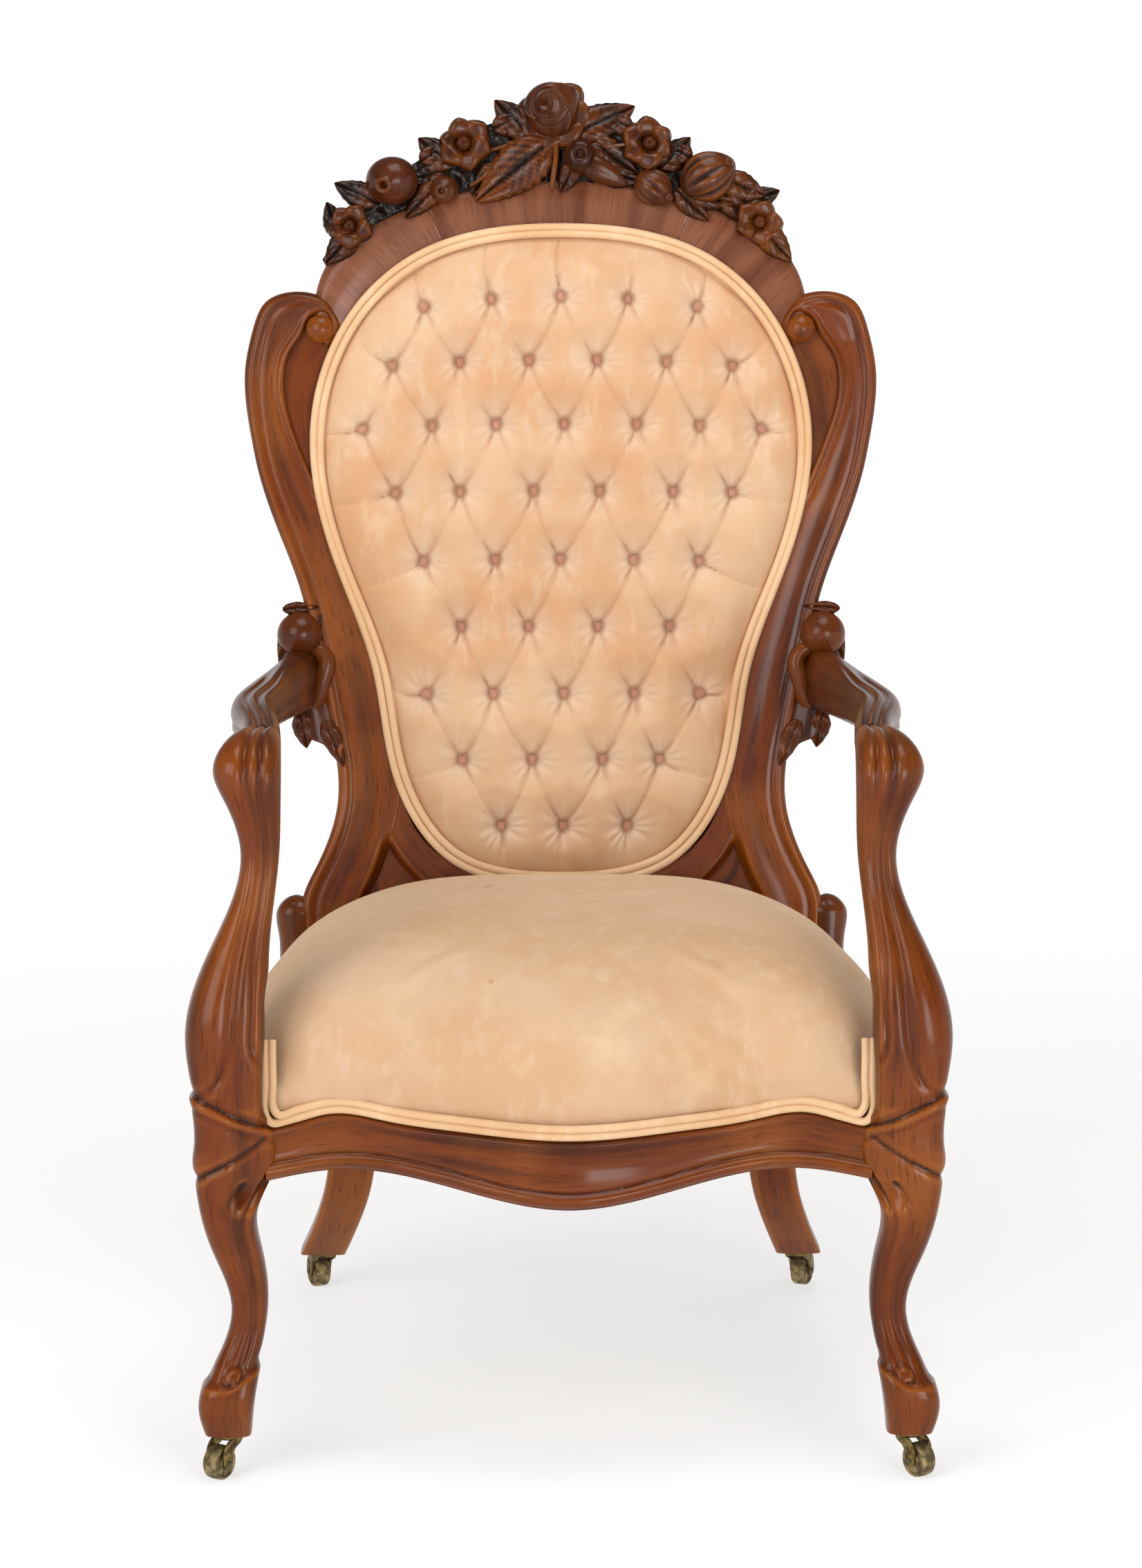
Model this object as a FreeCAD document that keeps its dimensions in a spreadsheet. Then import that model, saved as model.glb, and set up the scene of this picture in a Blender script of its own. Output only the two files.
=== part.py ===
import FreeCAD, Part
import math
import os

import Sketcher
from FreeCAD import Placement, Rotation, Vector

# Rococo revival armchair, millimetres. The chair faces -Y, +X is on the right of a viewer in front of it,
# +Z is up and the floor is z = 0.

doc = FreeCAD.newDocument("rococo_armchair")
sheet = doc.addObject("Spreadsheet::Sheet", "Sizes")

SIZES = (
    # seat frame
    ("seat_half_width", 250),  # centre line to the front leg's joint face
    ("leg_back_y", -262),  # rear joint face of the front legs
    ("rail_top", 293),
    ("rail_bottom", 250),
    ("front_rail_corner", 36),  # front face ahead of leg_back_y at the leg
    ("front_rail_quarter", 25),  # at the hollow of the serpentine
    ("front_rail_middle", 66),  # at the centre of the serpentine
    ("front_rail_quarter_x", 190),
    ("apron_middle_z", 232),  # underside of the front rail at its centre
    ("apron_quarter_z", 257),
    ("side_rail_setin", 12),  # side rail's inner face outside the leg's joint face
    ("side_rail_thick", 28),
    ("side_rail_bow", 7),
    ("side_rail_end_y", 190),
    ("side_rail_end_x", 222),  # inner face at the rear end
    ("rear_rail_thick", 28),
    ("rear_rail_y", 155),
    ("rear_rail_top", 318),
    ("corner_block_leg", 46),
    ("corner_block_height", 34),
    ("block_screw_radius", 2.4),
    ("block_screw_head", 4.4),
    ("block_screw_length", 26),
    ("dowel_radius", 4.5),
    ("dowel_half", 18),
    # front leg and arm post: height, outwards from the joint face, forwards of leg_back_y, width, depth
    ("foot_z", 38), ("foot_out", 33), ("foot_fwd", 39), ("foot_width", 34), ("foot_depth", 36),
    ("toe_z", 66), ("toe_out", 34), ("toe_fwd", 43), ("toe_width", 42), ("toe_depth", 46),
    ("pastern_z", 104), ("pastern_out", 23), ("pastern_fwd", 34), ("pastern_width", 34),
    ("pastern_depth", 36),
    ("ankle_z", 140), ("ankle_out", 15), ("ankle_fwd", 27), ("ankle_width", 30), ("ankle_depth", 32),
    ("calf_z", 193), ("calf_out", 25), ("calf_fwd", 32), ("calf_width", 41), ("calf_depth", 42),
    ("knee_z", 228), ("knee_out", 31), ("knee_fwd", 36), ("knee_width", 47), ("knee_depth", 50),
    ("block_z", 262), ("block_out", 26), ("block_fwd", 27), ("block_width", 64), ("block_depth", 66),
    ("neck_z", 306), ("neck_out", 27), ("neck_fwd", 27), ("neck_width", 60), ("neck_depth", 62),
    ("swell_z", 369), ("swell_out", 30), ("swell_fwd", 27), ("swell_width", 67), ("swell_depth", 60),
    ("taper_z", 439), ("taper_out", 21), ("taper_fwd", 16), ("taper_width", 49), ("taper_depth", 46),
    ("waist_z", 520), ("waist_out", 4), ("waist_fwd", 0), ("waist_width", 32), ("waist_depth", 34),
    ("throat_z", 560), ("throat_out", 9), ("throat_fwd", 2), ("throat_width", 45), ("throat_depth", 40),
    ("knuckle_z", 588), ("knuckle_out", 14), ("knuckle_fwd", 0), ("knuckle_width", 56),
    ("knuckle_depth", 44),
    ("crook_z", 604), ("crook_out", 8), ("crook_fwd", -28), ("crook_width", 42), ("crook_depth", 32),
    ("armjoint_z", 604), ("armjoint_out", 4), ("armjoint_fwd", -50), ("armjoint_width", 32),
    ("armjoint_depth", 30),
    # arm: distance behind the post joint, place of its middle, width and height
    ("elbow_back", 88), ("elbow_half", 264), ("elbow_z", 607), ("elbow_width", 36), ("elbow_height", 38),
    ("forearm_back", 220), ("forearm_half", 258), ("forearm_z", 602), ("forearm_width", 32),
    ("forearm_height", 42),
    ("armend_half", 237), ("armend_s", 161), ("armend_width", 32), ("armend_height", 50),
    # back frame, on a leaning plane: x across, s up the plane from its pivot
    ("back_y", 178),
    ("back_z", 430),
    ("back_lean", 10.5),
    ("frame_thick", 30),
    ("oval_top", 578),
    ("oval_bottom", -25),
    ("oval_half", 228),  # greatest half width, over the welt
    ("oval_waist", 160),  # half width low down
    ("stile_foot_s", -130),
    ("stile_foot_half", 222),
    ("stile_foot_width", 44),
    ("flare_s", -30), ("flare_half", 237),
    ("hollow_s", 70), ("hollow_half", 204),
    ("flank_s", 246), ("flank_half", 238),
    ("ear_s", 430), ("ear_half", 289),
    ("ear_top_s", 512), ("ear_top_half", 243),
    ("notch_s", 508), ("notch_half", 224),
    ("arch_top", 622),
    ("arch_shoulder_s", 540), ("arch_shoulder_half", 214),
    ("crest_joint_half", 118),
    ("shoulder_joint_half", 170), ("shoulder_joint_s", 478),  # inner end of the joint below the ear
    ("lower_joint_half", 139), ("lower_joint_s", 40),
    ("lower_foot_half", 172), ("lower_rail_bottom", -75),
    ("spandrel_deep", 9),
    ("scroll_ball_radius", 20), ("scroll_ball_half", 241), ("scroll_ball_s", 206),
    ("scroll_tip_s", 86), ("scroll_tip_half", 208),
    ("scroll_edge_half", 256),
    ("hip_half", 242), ("hip_radius", 15), ("hip_top_s", -32),
    # rear leg below the stile: height, place and section
    ("hock_z", 236), ("hock_half", 197), ("hock_y", 174), ("hock_width", 42), ("hock_depth", 36),
    ("shin_z", 140), ("shin_half", 194), ("shin_y", 196), ("shin_width", 43), ("shin_depth", 38),
    ("heel_z", 82), ("heel_half", 207), ("heel_y", 232), ("heel_width", 42), ("heel_depth", 38),
    ("rear_foot_half", 223), ("rear_foot_y", 271), ("rear_foot_width", 42), ("rear_foot_depth", 40),
    # back upholstery
    ("welt_width", 12),
    ("welt_height", 6),
    ("opening_setin", 7),  # wood opening inside the welt's outer edge
    ("pad_clear", 0.4),
    ("pad_seat", 12),  # pad's rear face behind the frame's front face
    ("pad_crown", 28),  # pad's crown before the frame's front face
    ("button_pitch_x", 62.5),
    ("button_pitch_s", 60.5),
    ("button_top_s", 513),
    ("button_margin", 31),  # outermost buttons to the edge of the oval
    ("button_radius", 6.5),
    ("button_height", 4),
    ("tuft_depth", 20),
    ("tuft_radius", 20),
    ("pleat_depth", 9),
    ("pleat_half", 11),
    ("hessian_thick", 1.2),
    ("outside_back_thick", 4),
    ("outside_back_margin", 10),
    # seat upholstery
    ("seat_clear", 1.5),
    ("seat_welt_height", 12),
    ("seat_welt_deep", 6),
    ("seat_welt_rise", 60),
    ("seat_side_half", 278),
    ("seat_side_y", -198),
    ("seat_middle_half", 268),
    ("seat_middle_y", -30),
    ("seat_rear_half", 226),
    ("seat_rear_y", 146),
    ("seat_edge_z", 366),
    ("seat_crown_z", 446),
    ("seat_wall", 42),
    ("spring_radius", 36),
    ("spring_waist", 25),
    ("spring_wire", 1.9),
    ("spring_turns", 5),
    ("spring_top", 366),
    ("web_width", 50),
    ("web_thick", 1.6),
    ("web_pitch", 112),
    ("web_tuck", 24),
    # casters
    ("wheel_radius", 14.5),
    ("wheel_width", 14),
    ("wheel_rim", 3.2),
    ("wheel_dish", 1.6),
    ("hub_radius", 5.2),
    ("wheel_gap", 0.7),
    ("axle_radius", 2),
    ("axle_proud", 1),
    ("running_gap", 0.05),
    ("cheek_thick", 2.6),
    ("cheek_boss", 5.4),
    ("caster_trail", 13),
    ("horn_radius", 12),
    ("horn_thick", 3),
    ("swivel_gap", 0.3),
    ("plate_radius", 16.5),
    ("plate_thick", 2),
    ("pivot_radius", 3.4),
    ("pivot_head", 5.6),
    ("pivot_head_thick", 1.2),
    ("stem_radius", 4),
    ("stem_length", 14),
    ("front_caster_turn", 36),  # trail turned outwards from straight ahead
    ("rear_caster_turn", 156),
    # crest carving, thicknesses and sizes of its motifs
    ("cartouche_front", 5),
    ("cartouche_thick", 22),
    ("cartouche_rise", 68),  # above the arch
    ("rose_radius", 27),
    ("rose_rise", 59),
    ("petal_radius", 13),
    ("flower_ring", 17),
    ("apple_radius", 24),
    ("berry_radius", 13),
    ("pod_radius", 17),
    ("leaf_thick", 11),
)

for row, (alias, value) in enumerate(SIZES, 1):
    sheet.set(f"A{row}", alias)
    sheet.set(f"B{row}", str(value))
    sheet.setAlias(f"B{row}", alias)
doc.recompute()

SIDES = (("left", -1), ("right", 1))
nodes = []


def size(alias):
    return float(sheet.get(alias))


def node(shape_object, label):
    shape_object.Label = label
    nodes.append(shape_object)
    return shape_object


# shared building blocks


def body_with_sketch(name, role):
    body = doc.addObject("PartDesign::Body", name)
    return body, add_sketch(body, role)


def add_sketch(body, role):
    sketch = body.newObject("Sketcher::SketchObject", f"{body.Name}_sketch")
    plane = next(item for item in body.Origin.OriginFeatures if item.Role == role)
    sketch.AttachmentSupport = [(plane, "")]
    sketch.MapMode = "FlatFace"
    return sketch


def polygon(sketch, corners):
    # Closed polygon whose corners are expressions of the sheet, drawn first as a regular one.
    count = len(corners)
    first = sketch.GeometryCount
    turn = 2 * math.pi / count
    ring = [Vector(10 * math.cos(turn * k), 10 * math.sin(turn * k), 0) for k in range(count)]
    for k in range(count):
        sketch.addGeometry(Part.LineSegment(ring[k], ring[(k + 1) % count]))
    for k in range(count):
        sketch.addConstraint(Sketcher.Constraint("Coincident", first + k, 2, first + (k + 1) % count, 1))
    for k, (across, up) in enumerate(corners):
        for kind, place, expression in (("DistanceX", ring[k].x, across), ("DistanceY", ring[k].y, up)):
            index = sketch.addConstraint(Sketcher.Constraint(kind, -1, 1, first + k, 1, place))
            sketch.setExpression(f"Constraints[{index}]", expression)


def circle(sketch, across, up, radius):
    index = sketch.addGeometry(Part.Circle(Vector(1, 1, 0), Vector(0, 0, 1), 5))
    for kind, expression in (("DistanceX", across), ("DistanceY", up)):
        place = sketch.addConstraint(Sketcher.Constraint(kind, -1, 1, index, 3, 1))
        sketch.setExpression(f"Constraints[{place}]", expression)
    span = sketch.addConstraint(Sketcher.Constraint("Radius", index, 5))
    sketch.setExpression(f"Constraints[{span}]", radius)


def feature(body, kind, sketch, **settings):
    made = body.newObject(f"PartDesign::{kind}", f"{body.Name}_{kind.lower()}")
    made.Profile = sketch
    for name, value in settings.items():
        if isinstance(value, str) and value.startswith("="):
            made.setExpression(name, value[1:])
        else:
            setattr(made, name, value)
    return made


def boolean(kind, name, base, tool):
    made = doc.addObject(f"Part::{kind}", name)
    made.Base = base
    made.Tool = tool
    return made


def compound(name, links):
    made = doc.addObject("Part::Compound", name)
    made.Links = links
    return made


def solid(name, shape):
    made = doc.addObject("Part::Feature", name)
    made.Shape = shape
    return made


def spline(points, closed=False):
    curve = Part.BSplineCurve()
    curve.interpolate(Points=[Vector(*point) for point in points], PeriodicFlag=closed)
    return curve


def lines(points):
    return [Part.LineSegment(Vector(*one), Vector(*two)) for one, two in zip(points, points[1:])]


def rounded_section(centre, across, deep, width, depth, corner):
    # Rectangle with round corners in the plane of two unit vectors, started on the across side.
    half_w = width / 2
    half_d = depth / 2
    slack = corner * (1 - math.sqrt(0.5))

    def at(u, v):
        return centre + across * u + deep * v

    edges = []
    for turn_u, turn_v, swap in ((1, 1, False), (-1, 1, True), (-1, -1, False), (1, -1, True)):
        inner_w = turn_u * (half_w - corner)
        inner_d = turn_v * (half_d - corner)
        side = at(turn_u * half_w, inner_d)
        end = at(inner_w, turn_v * half_d)
        middle = at(turn_u * (half_w - slack), turn_v * (half_d - slack))
        first, last = (end, side) if swap else (side, end)
        edges.append((first, middle, last))
    wire = []
    for k, (first, middle, last) in enumerate(edges):
        previous = edges[k - 1][2]
        wire.append(Part.LineSegment(previous, first).toShape())
        wire.append(Part.Arc(first, middle, last).toShape())
    return Part.Wire(wire)


def loft(wires):
    return Part.makeLoft(wires, True, False)


# the leaning plane of the back

LEAN = math.radians(size("back_lean"))
UP_BACK = Vector(0, math.sin(LEAN), math.cos(LEAN))
INTO_BACK = Vector(0, math.cos(LEAN), -math.sin(LEAN))


def back_point(x, s, deep=0.0):
    return Vector(x, size("back_y"), size("back_z")) + UP_BACK * s + INTO_BACK * deep


def place_on_back(shape_object):
    shape_object.Placement = Placement(Vector(), Rotation(Vector(1, 0, 0), -size("back_lean")))
    shape_object.setExpression("Placement.Base.y", "Sizes.back_y")
    shape_object.setExpression("Placement.Base.z", "Sizes.back_z")
    shape_object.setExpression("Placement.Rotation.Angle", "-Sizes.back_lean")
    return shape_object


def back_board(name, curves, front, thick):
    # Board sawn to an outline of the leaning plane; front and thick are expressions of the sheet.
    body, sketch = body_with_sketch(name, "XZ_Plane")
    for curve in curves:
        sketch.addGeometry(curve)
    sketch.setExpression("AttachmentOffset.Base.z", f"-({front})")
    feature(body, "Pad", sketch, Length=f"={thick}", Reversed=True)
    return place_on_back(body)


def oval_points(setin=0.0):
    # Waisted oval of the upholstered back, drawn in by setin all round.
    middle = (size("oval_top") + size("oval_bottom")) / 2
    tall = (size("oval_top") - size("oval_bottom")) / 2 - setin
    wide = size("oval_half") - setin
    waist = size("oval_waist") - setin
    right = (
        (0.60 * wide, 0.904), (0.841 * wide, 0.735), (wide, 0.383), (0.905 * wide, -0.018),
        (1.075 * waist, -0.35), (0.95 * waist, -0.685), (0.62 * waist, -0.934),
    )
    half = [(x, middle + share * tall) for x, share in right]
    left = [(-x, s) for x, s in reversed(half)]
    return [(0, middle + tall)] + half + [(0, middle - tall)] + left


def oval_half_at(s, setin):
    # Half width of the oval at one height, from the curve itself.
    curve = oval_curve(setin)
    line = Part.LineSegment(Vector(0, s, 0), Vector(2 * size("oval_half"), s, 0))
    return max(point.X for point in curve.intersect(line))


def oval_curve(setin):
    return spline([(x, s, 0) for x, s in oval_points(setin)], True)


# casters: plate with its stem, swivelling horn, axle and wheel

HORN_TOP = "(Sizes.foot_z - Sizes.plate_thick - Sizes.swivel_gap)"
HORN_UNDER = f"({HORN_TOP} - Sizes.horn_thick)"
SLOT_HALF = "(Sizes.wheel_width / 2 + Sizes.wheel_gap)"
OUTER_HALF = f"({SLOT_HALF} + Sizes.cheek_thick)"


def caster_plate(name):
    body, sketch = body_with_sketch(name, "XZ_Plane")
    head_top = f"({HORN_UNDER} - Sizes.swivel_gap)"
    polygon(sketch, (
        ("0", "Sizes.foot_z + Sizes.stem_length"),
        ("Sizes.stem_radius", "Sizes.foot_z + Sizes.stem_length"),
        ("Sizes.stem_radius", "Sizes.foot_z"),
        ("Sizes.plate_radius", "Sizes.foot_z"),
        ("Sizes.plate_radius", "Sizes.foot_z - Sizes.plate_thick"),
        ("Sizes.pivot_radius", "Sizes.foot_z - Sizes.plate_thick"),
        ("Sizes.pivot_radius", head_top),
        ("Sizes.pivot_head", head_top),
        ("Sizes.pivot_head", f"{head_top} - Sizes.pivot_head_thick"),
        ("0", f"{head_top} - Sizes.pivot_head_thick"),
    ))
    feature(body, "Revolution", sketch, ReferenceAxis=(sketch, ["V_Axis"]), Angle=360)
    return body


def caster_horn(name):
    # The trail runs along +X of the body; the wheel turns in the slot between the cheeks.
    body, sketch = body_with_sketch(name, "XY_Plane")
    circle(sketch, "0", "0", "Sizes.horn_radius")
    sketch.setExpression("AttachmentOffset.Base.z", HORN_UNDER)
    feature(body, "Pad", sketch, Length="=Sizes.horn_thick")
    cheek = add_sketch(body, "XZ_Plane")
    polygon(cheek, (
        ("-0.6 * Sizes.horn_radius", f"{HORN_TOP} - 0.3 * Sizes.horn_thick"),
        ("0.7 * Sizes.horn_radius", f"{HORN_TOP} - 0.3 * Sizes.horn_thick"),
        ("Sizes.caster_trail + 0.5 * Sizes.cheek_boss", f"{HORN_UNDER} - 0.5 * Sizes.cheek_boss"),
        ("Sizes.caster_trail + Sizes.cheek_boss", "Sizes.wheel_radius + 0.3 * Sizes.cheek_boss"),
        ("Sizes.caster_trail + Sizes.cheek_boss", "Sizes.wheel_radius - 0.4 * Sizes.cheek_boss"),
        ("Sizes.caster_trail + 0.4 * Sizes.cheek_boss", "Sizes.wheel_radius - Sizes.cheek_boss"),
        ("Sizes.caster_trail - 0.4 * Sizes.cheek_boss", "Sizes.wheel_radius - Sizes.cheek_boss"),
        ("Sizes.caster_trail - Sizes.cheek_boss", "Sizes.wheel_radius - 0.4 * Sizes.cheek_boss"),
        ("Sizes.caster_trail - 1.2 * Sizes.cheek_boss", "Sizes.wheel_radius + 0.8 * Sizes.cheek_boss"),
    ))
    feature(body, "Pad", cheek, Length=f"=2 * {OUTER_HALF}", Midplane=True)
    slot = add_sketch(body, "XZ_Plane")
    reach = "(Sizes.caster_trail + 2 * Sizes.wheel_radius)"
    polygon(slot, ((f"-{reach}", "0"), (reach, "0"), (reach, HORN_UNDER), (f"-{reach}", HORN_UNDER)))
    feature(body, "Pocket", slot, Length=f"=2 * {SLOT_HALF}", Midplane=True)
    hole = add_sketch(body, "XZ_Plane")
    circle(hole, "Sizes.caster_trail", "Sizes.wheel_radius", "Sizes.axle_radius")
    feature(body, "Pocket", hole, Length=f"=4 * {OUTER_HALF}", Midplane=True)
    bore = add_sketch(body, "XY_Plane")
    circle(bore, "0", "0", "Sizes.pivot_radius + Sizes.running_gap")
    feature(body, "Pocket", bore, Length="=4 * Sizes.foot_z", Midplane=True)
    return body


def caster_axle(name):
    axle = doc.addObject("Part::Cylinder", name)
    axle.setExpression("Radius", "Sizes.axle_radius")
    axle.setExpression("Height", f"2 * ({OUTER_HALF} + Sizes.axle_proud)")
    return axle


def caster_wheel(name):
    body, sketch = body_with_sketch(name, "XY_Plane")
    half = "Sizes.wheel_width / 2"
    rim = "(Sizes.wheel_radius - Sizes.wheel_rim)"
    bore = "Sizes.axle_radius + Sizes.running_gap"
    crown = "0.94 * Sizes.wheel_radius"
    one_side = (
        (bore, f"{half}"), ("Sizes.hub_radius", f"{half}"),
        ("Sizes.hub_radius", f"{half} - Sizes.wheel_dish"), (rim, f"{half} - Sizes.wheel_dish"),
        (rim, f"{half}"), (crown, f"{half}"), ("Sizes.wheel_radius", f"0.5 * {half}"),
    )
    other = tuple((radius, f"-({along})") for radius, along in reversed(one_side))
    polygon(sketch, one_side + other)
    feature(body, "Revolution", sketch, ReferenceAxis=(sketch, ["V_Axis"]), Angle=360)
    return body


def caster(corner, x, y, turn):
    # turn is the trail's heading in degrees, counted from +X towards +Y.
    heading = Rotation(Vector(0, 0, 1), turn)
    trail = heading.multVec(Vector(size("caster_trail"), 0, 0))
    side = heading.multVec(Vector(0, 1, 0))
    hub = Vector(x, y, size("wheel_radius")) + trail
    plate = caster_plate(f"plate_{corner}")
    plate.Placement = Placement(Vector(x, y, 0), Rotation())
    horn = caster_horn(f"horn_{corner}")
    horn.Placement = Placement(Vector(x, y, 0), heading)
    axle = caster_axle(f"axle_{corner}")
    reach = size("wheel_width") / 2 + size("wheel_gap") + size("cheek_thick") + size("axle_proud")
    axle.Placement = Placement(hub - side * reach, Rotation(Vector(0, 0, 1), side))
    wheel = caster_wheel(f"wheel_{corner}")
    wheel.Placement = Placement(hub, heading)
    node(plate, f"caster_plate_{corner}")
    node(horn, f"caster_horn_{corner}")
    node(axle, f"caster_axle_{corner}")
    node(wheel, f"caster_wheel_{corner}")
    return plate


plates = []
for side_name, sign in SIDES:
    ahead = -90 + sign * size("front_caster_turn")
    behind = -90 + sign * size("rear_caster_turn")
    front_x = sign * (size("seat_half_width") + size("foot_out"))
    plates.append(caster(f"front_{side_name}", front_x, size("leg_back_y") - size("foot_fwd"), ahead))
    plates.append(caster(f"rear_{side_name}", sign * size("rear_foot_half"), size("rear_foot_y"), behind))

# dowels of the seat rails, arms and back


def dowel(name, centre, along):
    made = doc.addObject("Part::Cylinder", name)
    made.setExpression("Radius", "Sizes.dowel_radius")
    made.setExpression("Height", "2 * Sizes.dowel_half")
    direction = Vector(*along).normalize()
    made.Placement = Placement(centre - direction * size("dowel_half"), Rotation(Vector(0, 0, 1), direction))
    return made


rail_middle_z = (size("rail_top") + size("rail_bottom")) / 2
dowel_levels = (rail_middle_z - 2.1 * size("dowel_radius"), rail_middle_z + 2.1 * size("dowel_radius"))
post_outer_y = size("rear_rail_y") + size("rear_rail_thick") / 2
rail_dowels = []
for side_name, sign in SIDES:
    side_front_x = size("seat_half_width") + size("side_rail_setin") + size("side_rail_thick") / 2
    post_inner = size("stile_foot_half") - size("stile_foot_width")
    front_pin_y = size("leg_back_y") - size("front_rail_quarter") / 2
    for level_name, level in zip(("low", "high"), dowel_levels):
        tag = f"{side_name}_{level_name}"
        front_at = Vector(sign * size("seat_half_width"), front_pin_y, level)
        side_at = Vector(sign * side_front_x, size("leg_back_y"), level)
        rear_at = Vector(sign * size("side_rail_end_x"), post_outer_y, level)
        back_at = Vector(sign * post_inner, post_outer_y, level)
        rail_dowels.append(dowel(f"front_dowel_{tag}", front_at, (1, 0, 0)))
        rail_dowels.append(dowel(f"side_dowel_{tag}", side_at, (0, 1, 0)))
        rail_dowels.append(dowel(f"rear_side_dowel_{tag}", rear_at, (1, 0, 0)))
        rail_dowels.append(dowel(f"rear_rail_dowel_{tag}", back_at, (1, 0, 0)))
rail_dowel_set = node(compound("rail_dowel_set", rail_dowels), "rail_dowels")

arm_dowels = []
for side_name, sign in SIDES:
    joint_x = size("seat_half_width") + size("armjoint_out")
    joint_y = size("leg_back_y") - size("armjoint_fwd")
    at_post = Vector(sign * joint_x, joint_y, size("armjoint_z"))
    at_stile = back_point(sign * size("armend_half"), size("armend_s"))
    arm_dowels.append(dowel(f"arm_post_dowel_{side_name}", at_post, (0, 1, 0)))
    arm_dowels.append(dowel(f"arm_stile_dowel_{side_name}", at_stile, INTO_BACK))
arm_dowel_set = node(compound("arm_dowel_set", arm_dowels), "arm_dowels")


def joint_line(inner_x, inner_s, outer_x, outer_s, share):
    # Point at a share of a joint line of the back, and the direction square to that line.
    middle = (inner_x + share * (outer_x - inner_x), inner_s + share * (outer_s - inner_s))
    run = Vector(outer_x - inner_x, 0, outer_s - inner_s).normalize()
    square = Vector(-run.z, 0, run.x)
    return middle, Vector(1, 0, 0) * square.x + UP_BACK * square.z


half_thick = size("frame_thick") / 2
back_dowels = []
for side_name, sign in SIDES:
    crest_s = (size("arch_top") + size("oval_top")) / 2 - 0.15 * (size("arch_top") - size("arch_shoulder_s"))
    crest_at = back_point(sign * size("crest_joint_half"), crest_s, half_thick)
    back_dowels.append(dowel(f"crest_dowel_{side_name}", crest_at, (1, 0, 0)))
    (ear_x, ear_s), ear_way = joint_line(
        size("shoulder_joint_half"), size("shoulder_joint_s"), size("notch_half"), size("notch_s"), 0.56)
    ear_way = Vector(sign * ear_way.x, ear_way.y, ear_way.z)
    ear_at = back_point(sign * ear_x, ear_s, half_thick)
    back_dowels.append(dowel(f"shoulder_dowel_{side_name}", ear_at, ear_way))
    for share in (0.45, 0.8):
        (low_x, low_s), low_way = joint_line(
            size("lower_joint_half"), size("lower_joint_s"),
            size("lower_foot_half"), size("lower_rail_bottom"), share)
        low_way = Vector(sign * low_way.x, low_way.y, low_way.z)
        low_at = back_point(sign * low_x, low_s, half_thick)
        back_dowels.append(dowel(f"lower_dowel_{side_name}_{int(100 * share)}", low_at, low_way))
back_dowel_set = node(compound("back_dowel_set", back_dowels), "back_dowels")
joinery = compound("joinery", [rail_dowel_set, arm_dowel_set, back_dowel_set] + plates)

# front legs with the arm posts above them, each one carved piece

LEG_STATIONS = (
    ("foot", 0), ("toe", 0), ("pastern", 0), ("ankle", 0), ("calf", 0), ("knee", 0), ("block", 0),
    ("neck", 0), ("swell", 0), ("taper", 0), ("waist", 0), ("throat", 8), ("knuckle", 32),
    ("crook", 76), ("armjoint", 90),
)  # station and tilt of its section, 90 where the post runs level into the arm
CORNER_SHARE = 0.34  # corner radius over the smaller side of a section


def leg_section(station, tilt, sign):
    x = sign * (size("seat_half_width") + size(f"{station}_out"))
    centre = Vector(x, size("leg_back_y") - size(f"{station}_fwd"), size(f"{station}_z"))
    angle = math.radians(tilt)
    deep = Vector(0, math.cos(angle), -math.sin(angle))
    width = size(f"{station}_width")
    depth = size(f"{station}_depth")
    share = 0.16 if station in ("block", "neck") else CORNER_SHARE
    return rounded_section(centre, Vector(1, 0, 0), deep, width, depth, share * min(width, depth))


def joint_notch(name, sign):
    # Room cut out of the leg for the ends of the front rail and the side rail.
    reach = "Sizes.block_width"
    front = doc.addObject("Part::Box", f"{name}_front")
    front.setExpression("Length", reach)
    front.setExpression("Width", "4 * Sizes.block_depth")
    front.setExpression("Height", "Sizes.rail_top - Sizes.rail_bottom")
    front.setExpression("Placement.Base.y", "Sizes.leg_back_y - 2 * Sizes.block_depth")
    front.setExpression("Placement.Base.z", "Sizes.rail_bottom")
    inward = "-Sizes.seat_half_width" if sign < 0 else "Sizes.seat_half_width - Sizes.block_width"
    front.setExpression("Placement.Base.x", inward)
    side = doc.addObject("Part::Box", f"{name}_side")
    side.setExpression("Length", "4 * Sizes.block_width")
    side.setExpression("Width", "Sizes.block_depth")
    side.setExpression("Height", "Sizes.rail_top - Sizes.rail_bottom")
    side.setExpression("Placement.Base.x", f"{sign} * Sizes.seat_half_width - 2 * Sizes.block_width")
    side.setExpression("Placement.Base.y", "Sizes.leg_back_y")
    side.setExpression("Placement.Base.z", "Sizes.rail_bottom")
    return boolean("Fuse", name, front, side)


for side_name, sign in SIDES:
    sections = [leg_section(name, tilt, sign) for name, tilt in LEG_STATIONS]
    blank = solid(f"leg_blank_{side_name}", loft(sections))
    notched = boolean("Cut", f"leg_notched_{side_name}", blank, joint_notch(f"leg_notch_{side_name}", sign))
    node(boolean("Cut", f"leg_{side_name}", notched, joinery), f"front_leg_{side_name}")

# arms, from the post joint to the front of the back frame


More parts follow.
